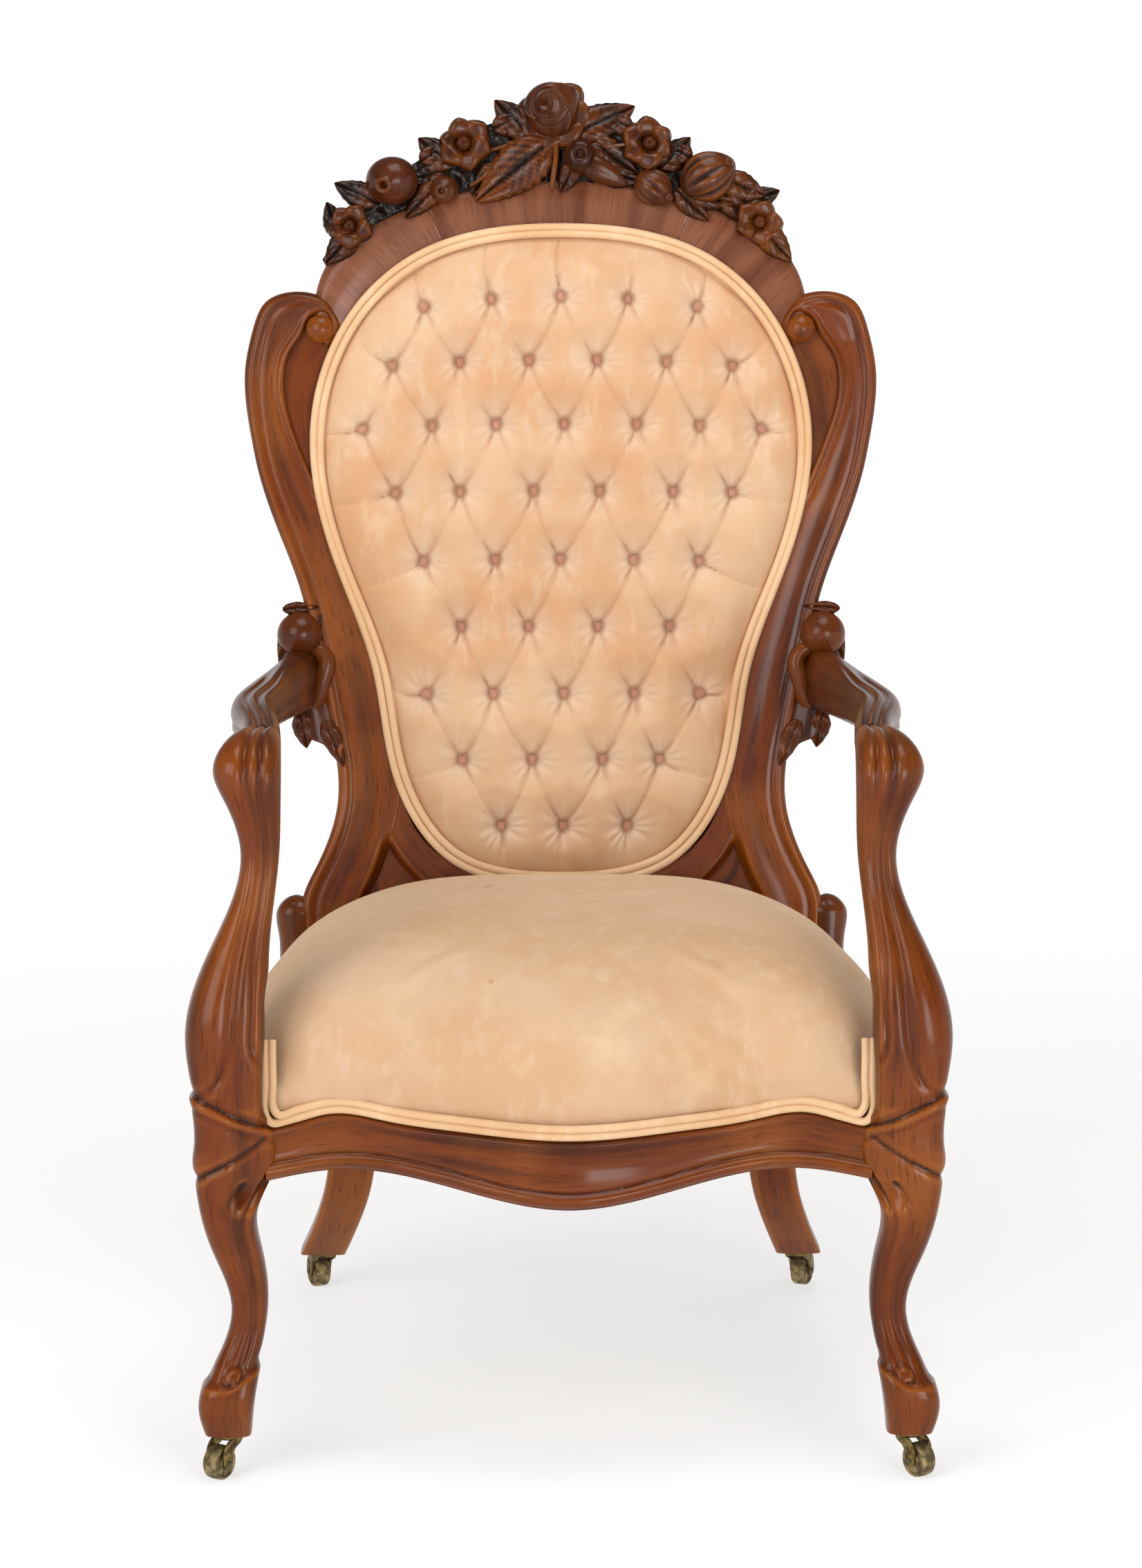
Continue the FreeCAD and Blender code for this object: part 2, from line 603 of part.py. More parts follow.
def arm_sections(sign):
    joint_y = size("leg_back_y") - size("armjoint_fwd")
    end = back_point(sign * size("armend_half"), size("armend_s"))
    stations = [
        (Vector(sign * (size("seat_half_width") + size("armjoint_out")), joint_y, size("armjoint_z")),
         size("armjoint_width"), size("armjoint_depth")),
        (Vector(sign * size("elbow_half"), joint_y + size("elbow_back"), size("elbow_z")),
         size("elbow_width"), size("elbow_height")),
        (Vector(sign * size("forearm_half"), joint_y + size("forearm_back"), size("forearm_z")),
         size("forearm_width"), size("forearm_height")),
        (end, size("armend_width"), size("armend_height")),
    ]
    wires = []
    last = len(stations) - 1
    for k, (centre, width, height) in enumerate(stations):
        deep = UP_BACK * -1 if k == last else Vector(0, 0, -1)
        corner = CORNER_SHARE * min(width, height)
        wires.append(rounded_section(centre, Vector(1, 0, 0), deep, width, height, corner))
    return wires


for side_name, sign in SIDES:
    arm_blank = solid(f"arm_blank_{side_name}", loft(arm_sections(sign)))
    node(boolean("Cut", f"arm_cut_{side_name}", arm_blank, arm_dowel_set), f"arm_{side_name}")

# back frame: one ring sawn into crest, shoulders, stiles and lower rail


def frame_outline():
    right = [
        (size("stile_foot_half"), size("stile_foot_s"), 0),
        (size("flare_half"), size("flare_s"), 0),
        (size("hollow_half"), size("hollow_s"), 0),
        (size("flank_half"), size("flank_s"), 0),
        (size("ear_half"), size("ear_s"), 0),
        (size("ear_top_half"), size("ear_top_s"), 0),
    ]
    notch = (size("notch_half"), size("notch_s"), 0)
    left = [(-x, s, 0) for x, s, _ in reversed(right)]
    left_notch = (-notch[0], notch[1], 0)
    return (
        [spline(right)] + lines([right[-1], notch]) + [arch_curve()] + lines([left_notch, left[0]])
        + [spline(left)] + lines([left[-1], right[0]])
    )


def arch_curve():
    notch = (size("notch_half"), size("notch_s"), 0)
    shoulder = (size("arch_shoulder_half"), size("arch_shoulder_s"), 0)
    rise = (0.56 * size("notch_half"), size("arch_top") - 0.2 * (size("arch_top") - size("notch_s")), 0)
    return spline([
        notch, shoulder, rise, (0, size("arch_top"), 0),
        (-rise[0], rise[1], 0), (-shoulder[0], shoulder[1], 0), (-notch[0], notch[1], 0),
    ])


def region(name, corners):
    # Through-going block that saws one piece out of the ring.
    loop = [(x, s, 0) for x, s in corners]
    return back_board(name, lines(loop + loop[:1]), "-Sizes.frame_thick", "3 * Sizes.frame_thick")


frame_blank = back_board("frame_blank", frame_outline(), "0", "Sizes.frame_thick")
opening = back_board(
    "frame_opening", [oval_curve(size("opening_setin"))], "-Sizes.frame_thick", "3 * Sizes.frame_thick")
ring = boolean("Cut", "frame_ring", frame_blank, opening)

far = 2 * size("ear_half")
beyond = 2 * size("arch_top")
crest_half = size("crest_joint_half")
ear_slope = (size("notch_s") - size("shoulder_joint_s")) / (size("notch_half") - size("shoulder_joint_half"))


def ear_line(x):
    return size("shoulder_joint_s") + ear_slope * (x - size("shoulder_joint_half"))


middle_s = (size("oval_top") + size("oval_bottom")) / 2
crest_region = region("crest_region", (
    (-crest_half, middle_s), (crest_half, middle_s), (crest_half, beyond), (-crest_half, beyond)))
crest_piece = boolean("Common", "crest_piece", ring, crest_region)
crest_rail = node(boolean("Cut", "crest_cut", crest_piece, back_dowel_set), "crest_rail")

shoulders = {}
stiles = {}
for side_name, sign in SIDES:
    shoulder_region = region(f"shoulder_region_{side_name}", (
        (sign * crest_half, ear_line(crest_half)), (sign * far, ear_line(far)),
        (sign * far, beyond + ear_line(far)), (sign * crest_half, beyond)))
    shoulder_piece = boolean("Common", f"shoulder_piece_{side_name}", ring, shoulder_region)
    shoulder = boolean("Cut", f"shoulder_{side_name}", shoulder_piece, back_dowel_set)
    shoulders[side_name] = node(shoulder, f"crest_shoulder_{side_name}")
    foot_inner = size("stile_foot_half") - size("stile_foot_width")
    stile_region = region(f"stile_region_{side_name}", (
        (sign * foot_inner, size("stile_foot_s")), (sign * foot_inner, size("lower_rail_bottom")),
        (sign * size("lower_foot_half"), size("lower_rail_bottom")),
        (sign * size("lower_joint_half"), size("lower_joint_s")),
        (sign * crest_half, middle_s), (sign * crest_half, ear_line(crest_half)),
        (sign * far, ear_line(far)), (sign * far, size("stile_foot_s"))))
    stiles[side_name] = boolean("Common", f"stile_{side_name}", ring, stile_region)

lower_joint = (size("lower_joint_half"), size("lower_joint_s"))
lower_foot = (size("lower_foot_half"), size("lower_rail_bottom"))
lower_region = region("lower_region", (
    (-lower_foot[0], lower_foot[1]), lower_foot, lower_joint, (-lower_joint[0], lower_joint[1])))
lower_piece = boolean("Common", "lower_piece", ring, lower_region)


def spandrel(name, sign):
    # Sunk three-cornered field between the oval's moulding and the stile.
    top = (sign * 1.02 * size("lower_joint_half"), size("lower_joint_s") - 0.42 * size("lower_joint_s"), 0)
    inner = (sign * 0.72 * size("lower_foot_half"), 0.52 * size("lower_rail_bottom"), 0)
    outer = (sign * 0.94 * size("lower_foot_half"), 0.62 * size("lower_rail_bottom"), 0)
    return back_board(name, lines([top, inner, outer, top]), "-Sizes.frame_thick",
                      "Sizes.frame_thick + Sizes.spandrel_deep")


spandrels = compound("spandrels", [spandrel(f"spandrel_{name}", sign) for name, sign in SIDES])
lower_sunk = boolean("Cut", "lower_sunk", lower_piece, spandrels)
node(boolean("Cut", "lower_cut", lower_sunk, back_dowel_set), "lower_back_rail")

# rear posts: each stile runs down into its raked rear leg

REAR_STATIONS = ("hock", "shin", "heel")


def rear_leg(sign):
    foot_half = size("stile_foot_half")
    foot_width = size("stile_foot_width")
    top = back_point(sign * (foot_half - foot_width / 2), size("stile_foot_s"), half_thick)
    corner = 0.08 * size("frame_thick")
    level = Vector(0, 1, 0)
    across = Vector(1, 0, 0)
    wires = [rounded_section(top, across, INTO_BACK, foot_width, size("frame_thick"), corner)]
    for name in REAR_STATIONS:
        centre = Vector(sign * size(f"{name}_half"), size(f"{name}_y"), size(f"{name}_z"))
        wires.append(rounded_section(
            centre, across, level, size(f"{name}_width"), size(f"{name}_depth"), 2 * corner))
    foot = Vector(sign * size("rear_foot_half"), size("rear_foot_y"), size("foot_z"))
    wires.append(rounded_section(
        foot, across, level, size("rear_foot_width"), size("rear_foot_depth"), 2 * corner))
    return loft(wires)


rear_posts = {}
for side_name, sign in SIDES:
    leg_blank = solid(f"rear_leg_blank_{side_name}", rear_leg(sign))
    joined = boolean("Fuse", f"rear_post_blank_{side_name}", stiles[side_name], leg_blank)
    rear_posts[side_name] = node(
        boolean("Cut", f"rear_post_cut_{side_name}", joined, joinery), f"rear_post_{side_name}")

# seat rails


def serpentine(setback=0.0, reach=None):
    # Plan curve of the front rail's face: hollow, swell, hollow from leg to leg.
    half = reach if reach is not None else size("seat_half_width")
    line = size("leg_back_y") + setback
    quarter = size("front_rail_quarter_x")
    corner_y = line - size("front_rail_corner")
    quarter_y = line - size("front_rail_quarter")
    between_y = line - 0.68 * size("front_rail_middle")
    middle_y = line - size("front_rail_middle")
    right = [(0.46 * quarter, between_y), (quarter, quarter_y), (half, corner_y)]
    left = [(-x, y) for x, y in reversed(right)]
    return left + [(0, middle_y)] + right


def front_rail():
    body, sketch = body_with_sketch("front_rail_body", "XY_Plane")
    face = [(x, y, 0) for x, y in serpentine()]
    inner = size("leg_back_y")
    half = size("seat_half_width")
    sketch.addGeometry(spline(face))
    for line in lines([face[-1], (half, inner, 0), (-half, inner, 0), face[0]]):
        sketch.addGeometry(line)
    sketch.setExpression("AttachmentOffset.Base.z", "Sizes.apron_middle_z")
    feature(body, "Pad", sketch, Length="=Sizes.rail_top - Sizes.apron_middle_z")
    apron = add_sketch(body, "XZ_Plane")
    quarter = size("front_rail_quarter_x")
    shallow = size("apron_quarter_z")
    low = size("apron_middle_z")
    rise = (shallow - low) / 2
    wave = [
        (-half, size("rail_bottom"), 0), (-quarter, shallow, 0), (-0.46 * quarter, low + 0.9 * rise, 0),
        (0, low, 0), (0.46 * quarter, low + 0.9 * rise, 0), (quarter, shallow, 0),
        (half, size("rail_bottom"), 0),
    ]
    apron.addGeometry(spline(wave))
    for line in lines([wave[-1], (half, low - rise, 0), (-half, low - rise, 0), wave[0]]):
        apron.addGeometry(line)
    feature(body, "Pocket", apron, Length="=-4 * Sizes.leg_back_y", Midplane=True)
    return body


def side_rail(name, sign):
    body, sketch = body_with_sketch(f"side_rail_body_{name}", "XY_Plane")
    front_y = size("leg_back_y")
    front_in = size("seat_half_width") + size("side_rail_setin")
    rear_in = size("side_rail_end_x")
    thick = size("side_rail_thick")
    rear_y = size("side_rail_end_y")
    outer = [
        (sign * (front_in + thick), front_y, 0),
        (sign * ((front_in + rear_in) / 2 + thick + size("side_rail_bow")), (front_y + rear_y) / 2, 0),
        (sign * (rear_in + thick), rear_y, 0),
    ]
    sketch.addGeometry(spline(outer))
    corners = [outer[-1], (sign * rear_in, rear_y, 0), (sign * front_in, front_y, 0), outer[0]]
    for line in lines(corners):
        sketch.addGeometry(line)
    sketch.setExpression("AttachmentOffset.Base.z", "Sizes.rail_bottom")
    feature(body, "Pad", sketch, Length="=Sizes.rail_top - Sizes.rail_bottom")
    return body


rear_rail = doc.addObject("Part::Box", "rear_rail_blank")
rear_rail.setExpression("Length", "2 * Sizes.stile_foot_half - Sizes.stile_foot_width")
rear_rail.setExpression("Width", "Sizes.rear_rail_thick")
rear_rail.setExpression("Height", "Sizes.rear_rail_top - Sizes.rail_bottom + Sizes.web_thick")
rear_rail.setExpression("Placement.Base.x", "Sizes.stile_foot_width / 2 - Sizes.stile_foot_half")
rear_rail.setExpression("Placement.Base.y", "Sizes.rear_rail_y")
rear_rail.setExpression("Placement.Base.z", "Sizes.rail_bottom - Sizes.web_thick")
post_pair = compound("post_pair", list(rear_posts.values()))
rear_fitted = boolean("Cut", "rear_rail_fitted", rear_rail, post_pair)
node(boolean("Cut", "rear_rail_cut", rear_fitted, rail_dowel_set), "rear_seat_rail")

# corner blocks behind the front legs, and their screws


def side_inner_x(y):
    # Inner face of a side rail at one depth.
    front_x = size("seat_half_width") + size("side_rail_setin")
    share = (y - size("leg_back_y")) / (size("side_rail_end_y") - size("leg_back_y"))
    return front_x + share * (size("side_rail_end_x") - front_x)


def corner_block(name, sign):
    body, sketch = body_with_sketch(f"corner_block_{name}", "XY_Plane")
    line_y = size("leg_back_y")
    run = size("corner_block_leg")
    front_x = size("seat_half_width") + size("side_rail_setin")
    corners = [
        (sign * (size("seat_half_width") - run), line_y, 0), (sign * front_x, line_y, 0),
        (sign * side_inner_x(line_y + run), line_y + run, 0),
        (sign * (side_inner_x(line_y + run) - 0.35 * run), line_y + run, 0),
        (sign * (size("seat_half_width") - run), line_y + 0.35 * run, 0),
    ]
    for edge in lines(corners + corners[:1]):
        sketch.addGeometry(edge)
    sketch.setExpression("AttachmentOffset.Base.z",
                         "Sizes.rail_top - Sizes.corner_block_height - Sizes.seat_clear")
    feature(body, "Pad", sketch, Length="=Sizes.corner_block_height")
    return body


def block_screw(name, start, along):
    # Countersunk screw: shank and cone head along its own axis.
    shank = doc.addObject("Part::Cylinder", f"{name}_shank")
    shank.setExpression("Radius", "Sizes.block_screw_radius")
    shank.setExpression("Height", "Sizes.block_screw_length")
    head = doc.addObject("Part::Cone", f"{name}_head")
    head.setExpression("Radius1", "Sizes.block_screw_head")
    head.setExpression("Radius2", "Sizes.block_screw_radius")
    head.setExpression("Height", "Sizes.block_screw_head - Sizes.block_screw_radius")
    screw = boolean("Fuse", name, shank, head)
    screw.Placement = Placement(start, Rotation(Vector(0, 0, 1), Vector(*along)))
    return screw


screws = []
block_middle_z = size("rail_top") - size("seat_clear") - size("corner_block_height") / 2
for side_name, sign in SIDES:
    run = size("corner_block_leg")
    rear_y = size("leg_back_y") + 0.35 * run
    front_spot = Vector(sign * (size("seat_half_width") - 0.82 * run), rear_y, block_middle_z)
    screws.append(block_screw(f"block_screw_front_{side_name}", front_spot, (0, -1, 0)))
    inner_x = side_inner_x(size("leg_back_y") + run) - 0.35 * run
    side_spot = Vector(sign * inner_x, size("leg_back_y") + 0.88 * run, block_middle_z)
    side_spot.x = sign * (inner_x - 0.12 * run * (inner_x - size("seat_half_width") + run) / (0.65 * run))
    screws.append(block_screw(f"block_screw_side_{side_name}", side_spot, (sign, 0, 0)))
screw_set = node(compound("block_screw_set", screws), "corner_block_screws")
blocks = compound("block_blanks", [corner_block(name, sign) for name, sign in SIDES])
node(boolean("Cut", "corner_block_cut", blocks, screw_set), "corner_blocks")
rail_fixings = compound("rail_fixings", [rail_dowel_set, screw_set])
node(boolean("Cut", "front_rail_cut", front_rail(), rail_fixings), "front_seat_rail")
for side_name, sign in SIDES:
    whole = side_rail(side_name, sign)
    fitted = boolean("Cut", f"side_rail_fitted_{side_name}", whole, rear_posts[side_name])
    node(boolean("Cut", f"side_rail_cut_{side_name}", fitted, rail_fixings), f"side_rail_{side_name}")

# carved scroll with its ball where each arm meets the stile, and the lobe at each hip


def arm_scroll(name, sign):
    edge = size("scroll_edge_half")
    ball_s = size("scroll_ball_s")
    ball_x = size("scroll_ball_half")
    tip = (size("scroll_tip_half"), size("scroll_tip_s"))
    inner = 0.5 * (size("hollow_half") + size("oval_waist"))
    outer = [
        (tip[0], tip[1], 0), (edge - 16, tip[1] + 22, 0), (edge, size("armend_s"), 0),
        (ball_x + 0.7 * size("scroll_ball_radius"), ball_s, 0),
        (ball_x, ball_s + size("scroll_ball_radius"), 0),
    ]
    top = outer[-1]
    outline = [spline([(sign * x, s, 0) for x, s, _ in outer])]
    outline += lines([(sign * top[0], top[1], 0), (sign * inner, top[1], 0), (sign * inner, tip[1], 0),
                      (sign * tip[0], tip[1], 0)])
    plate = back_board(f"scroll_plate_{name}", outline, "0", "Sizes.frame_thick")
    ball = doc.addObject("Part::Sphere", f"scroll_ball_{name}")
    ball.setExpression("Radius", "Sizes.scroll_ball_radius")
    ball.Placement = Placement(back_point(sign * ball_x, ball_s, 0), Rotation())
    return boolean("Fuse", f"scroll_blank_{name}", plate, ball)


for side_name, sign in SIDES:
    whole = arm_scroll(side_name, sign)
    fitted = boolean("Cut", f"scroll_fitted_{side_name}", whole, rear_posts[side_name])
    sawn = boolean("Cut", f"scroll_sawn_{side_name}", fitted, opening)
    node(boolean("Cut", f"scroll_cut_{side_name}", sawn, arm_dowel_set), f"arm_scroll_{side_name}")


def hip_lobe(name, sign):
    lobe_x = sign * size("hip_half")
    radius = size("hip_radius")
    top = size("hip_top_s")
    foot = size("stile_foot_s") - radius
    arc = Part.Arc(Vector(lobe_x - radius, top - radius, 0), Vector(lobe_x, top, 0),
                   Vector(lobe_x + radius, top - radius, 0))
    sides = lines([(lobe_x + radius, top - radius, 0), (lobe_x + radius, foot, 0),
                   (lobe_x - radius, foot, 0), (lobe_x - radius, top - radius, 0)])
    return back_board(f"hip_blank_{name}", [arc] + sides, "0", "Sizes.frame_thick")


below_rail = doc.addObject("Part::Box", "below_rail_top")
below_rail.setExpression("Length", "4 * Sizes.ear_half")
below_rail.setExpression("Width", "4 * Sizes.ear_half")
below_rail.setExpression("Height", "Sizes.rail_top")
below_rail.setExpression("Placement.Base.x", "-2 * Sizes.ear_half")
below_rail.setExpression("Placement.Base.y", "-2 * Sizes.ear_half")
for side_name, sign in SIDES:
    seated = boolean("Cut", f"hip_seated_{side_name}", hip_lobe(side_name, sign), below_rail)
    node(boolean("Cut", f"hip_cut_{side_name}", seated, rear_posts[side_name]), f"hip_scroll_{side_name}")

# crest carving: a pierced ground with a rose, flowers, fruit and leaves raised on it

CARTOUCHE_EDGE = ((0.0, 1.0), (0.30, 0.93), (0.60, 0.72), (0.86, 0.34))


def cartouche():
    # Ground between the arch and a low-pitched top edge, thinner than the frame.
    notch = (size("arch_shoulder_half"), size("arch_shoulder_s"))
    top = size("arch_top") + size("cartouche_rise")
    right = [(share * notch[0], notch[1] + rise * (top - notch[1]), 0) for share, rise in CARTOUCHE_EDGE]
    right.append((notch[0], notch[1], 0))
    left = [(-x, s, 0) for x, s, _ in reversed(right[1:])]
    base = lines([(notch[0], notch[1], 0), (-notch[0], notch[1], 0)])
    return back_board("cartouche_blank", [spline(left + right)] + base, "Sizes.cartouche_front",
                      "Sizes.cartouche_thick")


ground = boolean("Cut", "cartouche_on_arch", cartouche(), frame_blank)
node(ground, "crest_cartouche")
doc.recompute()
carved_so_far = [crest_rail.Shape, ground.Shape] + [piece.Shape for piece in shoulders.values()]


def dome(x, s, radius, high=1.0):
    # Cap of a ball with the given radius at its foot and height high * radius, on the ground's face.
    tall = high * radius
    ball = (radius * radius + tall * tall) / (2 * tall)
    low = math.degrees(math.asin((ball - tall) / ball))
    centre = back_point(x, s, size("cartouche_front") + ball - tall)
    return Part.makeSphere(ball, centre, INTO_BACK * -1, low, 90, 360)


def flower(x, s, petals=5, turn=0.0):
    radius = size("petal_radius")
    ring_radius = size("flower_ring")
    spots = []
    for k in range(petals):
        angle = turn + 2 * math.pi * k / petals
        spots.append((x + ring_radius * math.cos(angle), s + ring_radius * math.sin(angle)))
    return dome(x, s, 0.8 * radius, 0.95).fuse([dome(*spot, radius, 0.55) for spot in spots])


def leaf(x, s, length, width, turn):
    # Two arcs from stem to tip, sawn flat and standing on the ground.
    along = Vector(math.cos(turn), 0, math.sin(turn))
    across = Vector(-along.z, 0, along.x)
    tip = along * length
    bow = along * (0.45 * length)
    one = Part.Arc(Vector(), bow + across * (width / 2), tip).toShape()
    two = Part.Arc(tip, bow - across * (width / 2), Vector()).toShape()
    face = Part.Face(Part.Wire([one, two]))
    thick = face.extrude(Vector(0, size("leaf_thick") + size("cartouche_front"), 0))
    start = back_point(x, s, -size("leaf_thick"))
    thick.Placement = Placement(start, Rotation(Vector(1, 0, 0), -size("back_lean")))
    return thick


def carve(name, label, shapes):
    # Motifs stand on the frame and the ground and give way to those carved before them.
    made = []
    for shape in shapes:
        near = [other for other in carved_so_far if other.BoundBox.intersect(shape.BoundBox)]
        rest = shape.cut(near)
        piece = max(rest.Solids, key=lambda one: one.Volume)
        carved_so_far.append(piece)
        made.append(piece)
    node(solid(name, Part.makeCompound(made)), label)


arch = size("arch_top")
rose_s = arch + size("rose_rise")
carve("rose_solids", "crest_rose", [dome(-7, rose_s, size("rose_radius"), 0.9)])
carve("flower_solids", "crest_flowers", [
    flower(-88, arch + 28, turn=0.6),
    flower(81, arch + 32, turn=0.2),
    flower(-197, arch - 46, turn=1.0),
    flower(182, arch - 44, turn=0.4),
])
carve("fruit_solids", "crest_fruit", [
    dome(-156, arch - 4, size("apple_radius"), 0.85),
    dome(-108, arch - 12, size("berry_radius"), 0.9),
    dome(18, arch + 15, size("pod_radius"), 0.9),
    dome(137, arch - 2, size("apple_radius"), 0.8),
    dome(90, arch - 12, size("pod_radius"), 0.75),
])
carve("leaf_solids", "crest_leaves", [
    leaf(-12, arch + 24, 82, 34, math.radians(212)),
    leaf(22, arch + 8, 52, 26, math.radians(-32)),
    leaf(-22, rose_s - 14, 50, 26, math.radians(168)),
    leaf(14, rose_s - 12, 56, 28, math.radians(4)),
    leaf(-112, arch + 8, 42, 24, math.radians(140)),
    leaf(108, arch + 14, 40, 22, math.radians(42)),
    leaf(-200, arch - 62, 30, 22, math.radians(225)),
    leaf(190, arch - 62, 30, 22, math.radians(-45)),
    leaf(150, arch - 20, 42, 22, math.radians(-18)),
])

# back upholstery


def oval_ring(name, outer_setin, inner_setin, front, thick):
    curves = [oval_curve(outer_setin), oval_curve(inner_setin)]
    return back_board(name, curves, front, thick)


node(oval_ring("back_welt_ring", 0, size("welt_width"), "-Sizes.welt_height", "Sizes.welt_height"),
     "back_welt")
pad_setin = size("opening_setin") + size("pad_clear")
front_setin = size("welt_width") + size("pad_clear")
pad_base = back_board("pad_base", [oval_curve(pad_setin)], "0", "Sizes.pad_seat")

# drawn in, share of the crown
DOME_STEPS = ((0.0, 0.0), (5.0, 0.42), (17.0, 0.74), (46.0, 0.95), (92.0, 1.0))


def pad_dome():
    crown = size("pad_crown")
    wires = []
    for drawn, share in DOME_STEPS:
        points = [back_point(x, s, -share * crown) for x, s in oval_points(front_setin + drawn)]
        curve = Part.BSplineCurve()
        curve.interpolate(Points=points, PeriodicFlag=True)
        wires.append(Part.Wire([curve.toShape()]))
    return loft(wires)


def button_grid():
    # Staggered rows, each filled out to a margin inside the oval.
    rows = []
    pitch_x = size("button_pitch_x")
    s = size("button_top_s")
    row = 0
    margin = size("button_margin")
    while s > size("oval_bottom") + margin:
        half = oval_half_at(s, margin)
        shift = 0.0 if row % 2 == 0 else 0.5
        reach = int(half / pitch_x - shift)
        start = -reach if shift == 0.0 else -reach - 1
        rows.append([((k + shift) * pitch_x, s) for k in range(start, reach + 1)])
        s -= size("button_pitch_s")
        row += 1
    return rows


button_rows = button_grid()
buttons = [spot for row in button_rows for spot in row]


def tuft(x, s):
    # Cone sunk from the crown to the flat bottom where the button sits.
    top = -size("pad_crown") - 1
    bottom = -size("pad_crown") + size("tuft_depth")
    bottom_radius = size("button_radius") + size("pad_clear")
    cone = Part.makeCone(size("tuft_radius"), bottom_radius, bottom - top, Vector(), INTO_BACK)
    cone.translate(back_point(x, s, top))
    return cone


def pleat(one, two):
    # V-shaped channel between two buttons, as deep as pleat_depth under the crown.
    crown = size("pad_crown")
    run = Vector(two[0] - one[0], 0, two[1] - one[1]).normalize()
    across = Vector(-run.z, 0, run.x)
    wide = size("pleat_half")
    deep = size("pleat_depth")
    tall = wide / deep

    def at(u, depth):
        return back_point(one[0] + across.x * u, one[1] + across.z * u, depth)

    profile = [at(-wide - tall, -crown - 1), at(wide + tall, -crown - 1), at(0, -crown + deep)]
    face = Part.Face(Part.makePolygon(profile + profile[:1]))
    return face.extrude(back_point(*two) - back_point(*one))


def pleat_lines():
    # Longest straight runs of the diamond lattice along both diagonals.
    runs = {}
    pitch_x = size("button_pitch_x")
    for row, spots in enumerate(button_rows):
        for x, s in spots:
            for way in (1, -1):
                lane = round(2 * x / pitch_x) + way * row
                runs.setdefault((way, lane), []).append((x, s))
    return [(spots[0], spots[-1]) for spots in runs.values() if len(spots) > 1]


doc.recompute()
crowned = pad_base.Shape.fuse(pad_dome())
channels = [pleat(one, two) for one, two in pleat_lines()]
grooved = crowned.cut(channels)
tufted = grooved.cut([tuft(x, s) for x, s in buttons])
node(solid("back_pad_solid", tufted), "back_pad")


def button(x, s):
    # Covered button: a low cylinder with a rounded front.
    bottom = -size("pad_crown") + size("tuft_depth")
    disc = Part.makeCylinder(size("button_radius"), size("button_height"), Vector(), INTO_BACK * -1)
    rim = [edge for edge in disc.Edges if edge.CenterOfMass.dot(INTO_BACK) < -0.5 * size("button_height")]
    shaped = disc.makeFillet(0.7 * size("button_height"), [edge for edge in rim if edge.Closed])
    shaped.translate(back_point(x, s, bottom))
    return shaped


node(solid("button_solids", Part.makeCompound([button(x, s) for x, s in buttons])), "back_buttons")
node(back_board("back_hessian_sheet", [oval_curve(pad_setin)], "Sizes.pad_seat", "Sizes.hessian_thick"),
     "back_hessian")
outside_setin = -size("outside_back_margin")
node(back_board("outside_back_panel", [oval_curve(outside_setin)], "Sizes.frame_thick",
                "Sizes.outside_back_thick"), "outside_back")

# seat upholstery


def seat_outline(z, drawn):
    # Plan of the seat at one height, drawn in towards its middle; it is notched behind the arm posts.
    clear = size("seat_clear")
    post_inner = size("seat_half_width") + size("neck_out") - size("neck_width") / 2 - 2 * clear
    swell_inner = size("seat_half_width") + size("swell_out") - size("swell_width") / 2
    post_inner = min(post_inner, swell_inner - clear)
    shrink = 1 - drawn / size("seat_side_half")
    back = size("seat_rear_y")
    middle_y = 0.5 * (back + size("leg_back_y"))
    front = serpentine(size("seat_welt_deep") + clear, post_inner)
    post_rear = size("leg_back_y") - size("swell_fwd") + size("swell_depth") / 2 + 4 * clear
    flank = [
        (post_inner, post_rear), (size("seat_side_half"), max(size("seat_side_y"), post_rear + 4 * clear)),
        (size("seat_middle_half"), size("seat_middle_y")), (size("seat_rear_half"), back),
    ]

    def at(point):
        x, y = point
        return Vector(x * shrink, middle_y + (y - middle_y) * shrink, z)

    def mirrored(points):
        return [(-x, y) for x, y in reversed(points)]

    curve = Part.BSplineCurve()
    curve.interpolate([at(point) for point in front])
    right = Part.BSplineCurve()
    right.interpolate([at(point) for point in flank[1:]])
    left = Part.BSplineCurve()
    left.interpolate([at(point) for point in mirrored(flank[1:])])
    corners = [at(front[-1]), at(flank[0]), at(flank[1])]
    far_side = [at(point) for point in mirrored(flank[:2])] + [at(front[0])]
    edges = [curve.toShape()]
    edges += [Part.LineSegment(one, two).toShape() for one, two in zip(corners, corners[1:])]
    rear = Part.LineSegment(at(flank[-1]), at(mirrored(flank)[0]))
    edges += [right.toShape(), rear.toShape(), left.toShape()]
    edges += [Part.LineSegment(one, two).toShape() for one, two in zip(far_side, far_side[1:])]
    return Part.Wire(edges)


# shares of the edge and of the crown above it, drawn in
SEAT_STEPS = ((0.0, 0.0, 3.0), (0.5, 0.0, 0.0), (1.0, 0.0, 6.0), (1.0, 0.36, 27.0), (1.0, 0.66, 66.0),
              (1.0, 0.89, 122.0), (1.0, 1.0, 196.0))


def seat_crown():
    edge = size("seat_edge_z") - size("rail_top")
    crown = size("seat_crown_z") - size("seat_edge_z")
    wires = []
    for up_edge, up_crown, drawn in SEAT_STEPS:
        wires.append(seat_outline(size("rail_top") + up_edge * edge + up_crown * crown, drawn))
    return loft(wires)


def seat_cavity(bottom, top):
    # Room for the springs inside the stuffing.
    wall = size("seat_wall")
    half = size("seat_half_width") - wall
    front = size("leg_back_y") - 0.2 * size("front_rail_quarter")
    deep = size("seat_rear_y") - 0.7 * wall - front
    box = Part.makeBox(2 * half, deep, top - bottom)
    box.translate(Vector(-half, front, bottom))
    return box


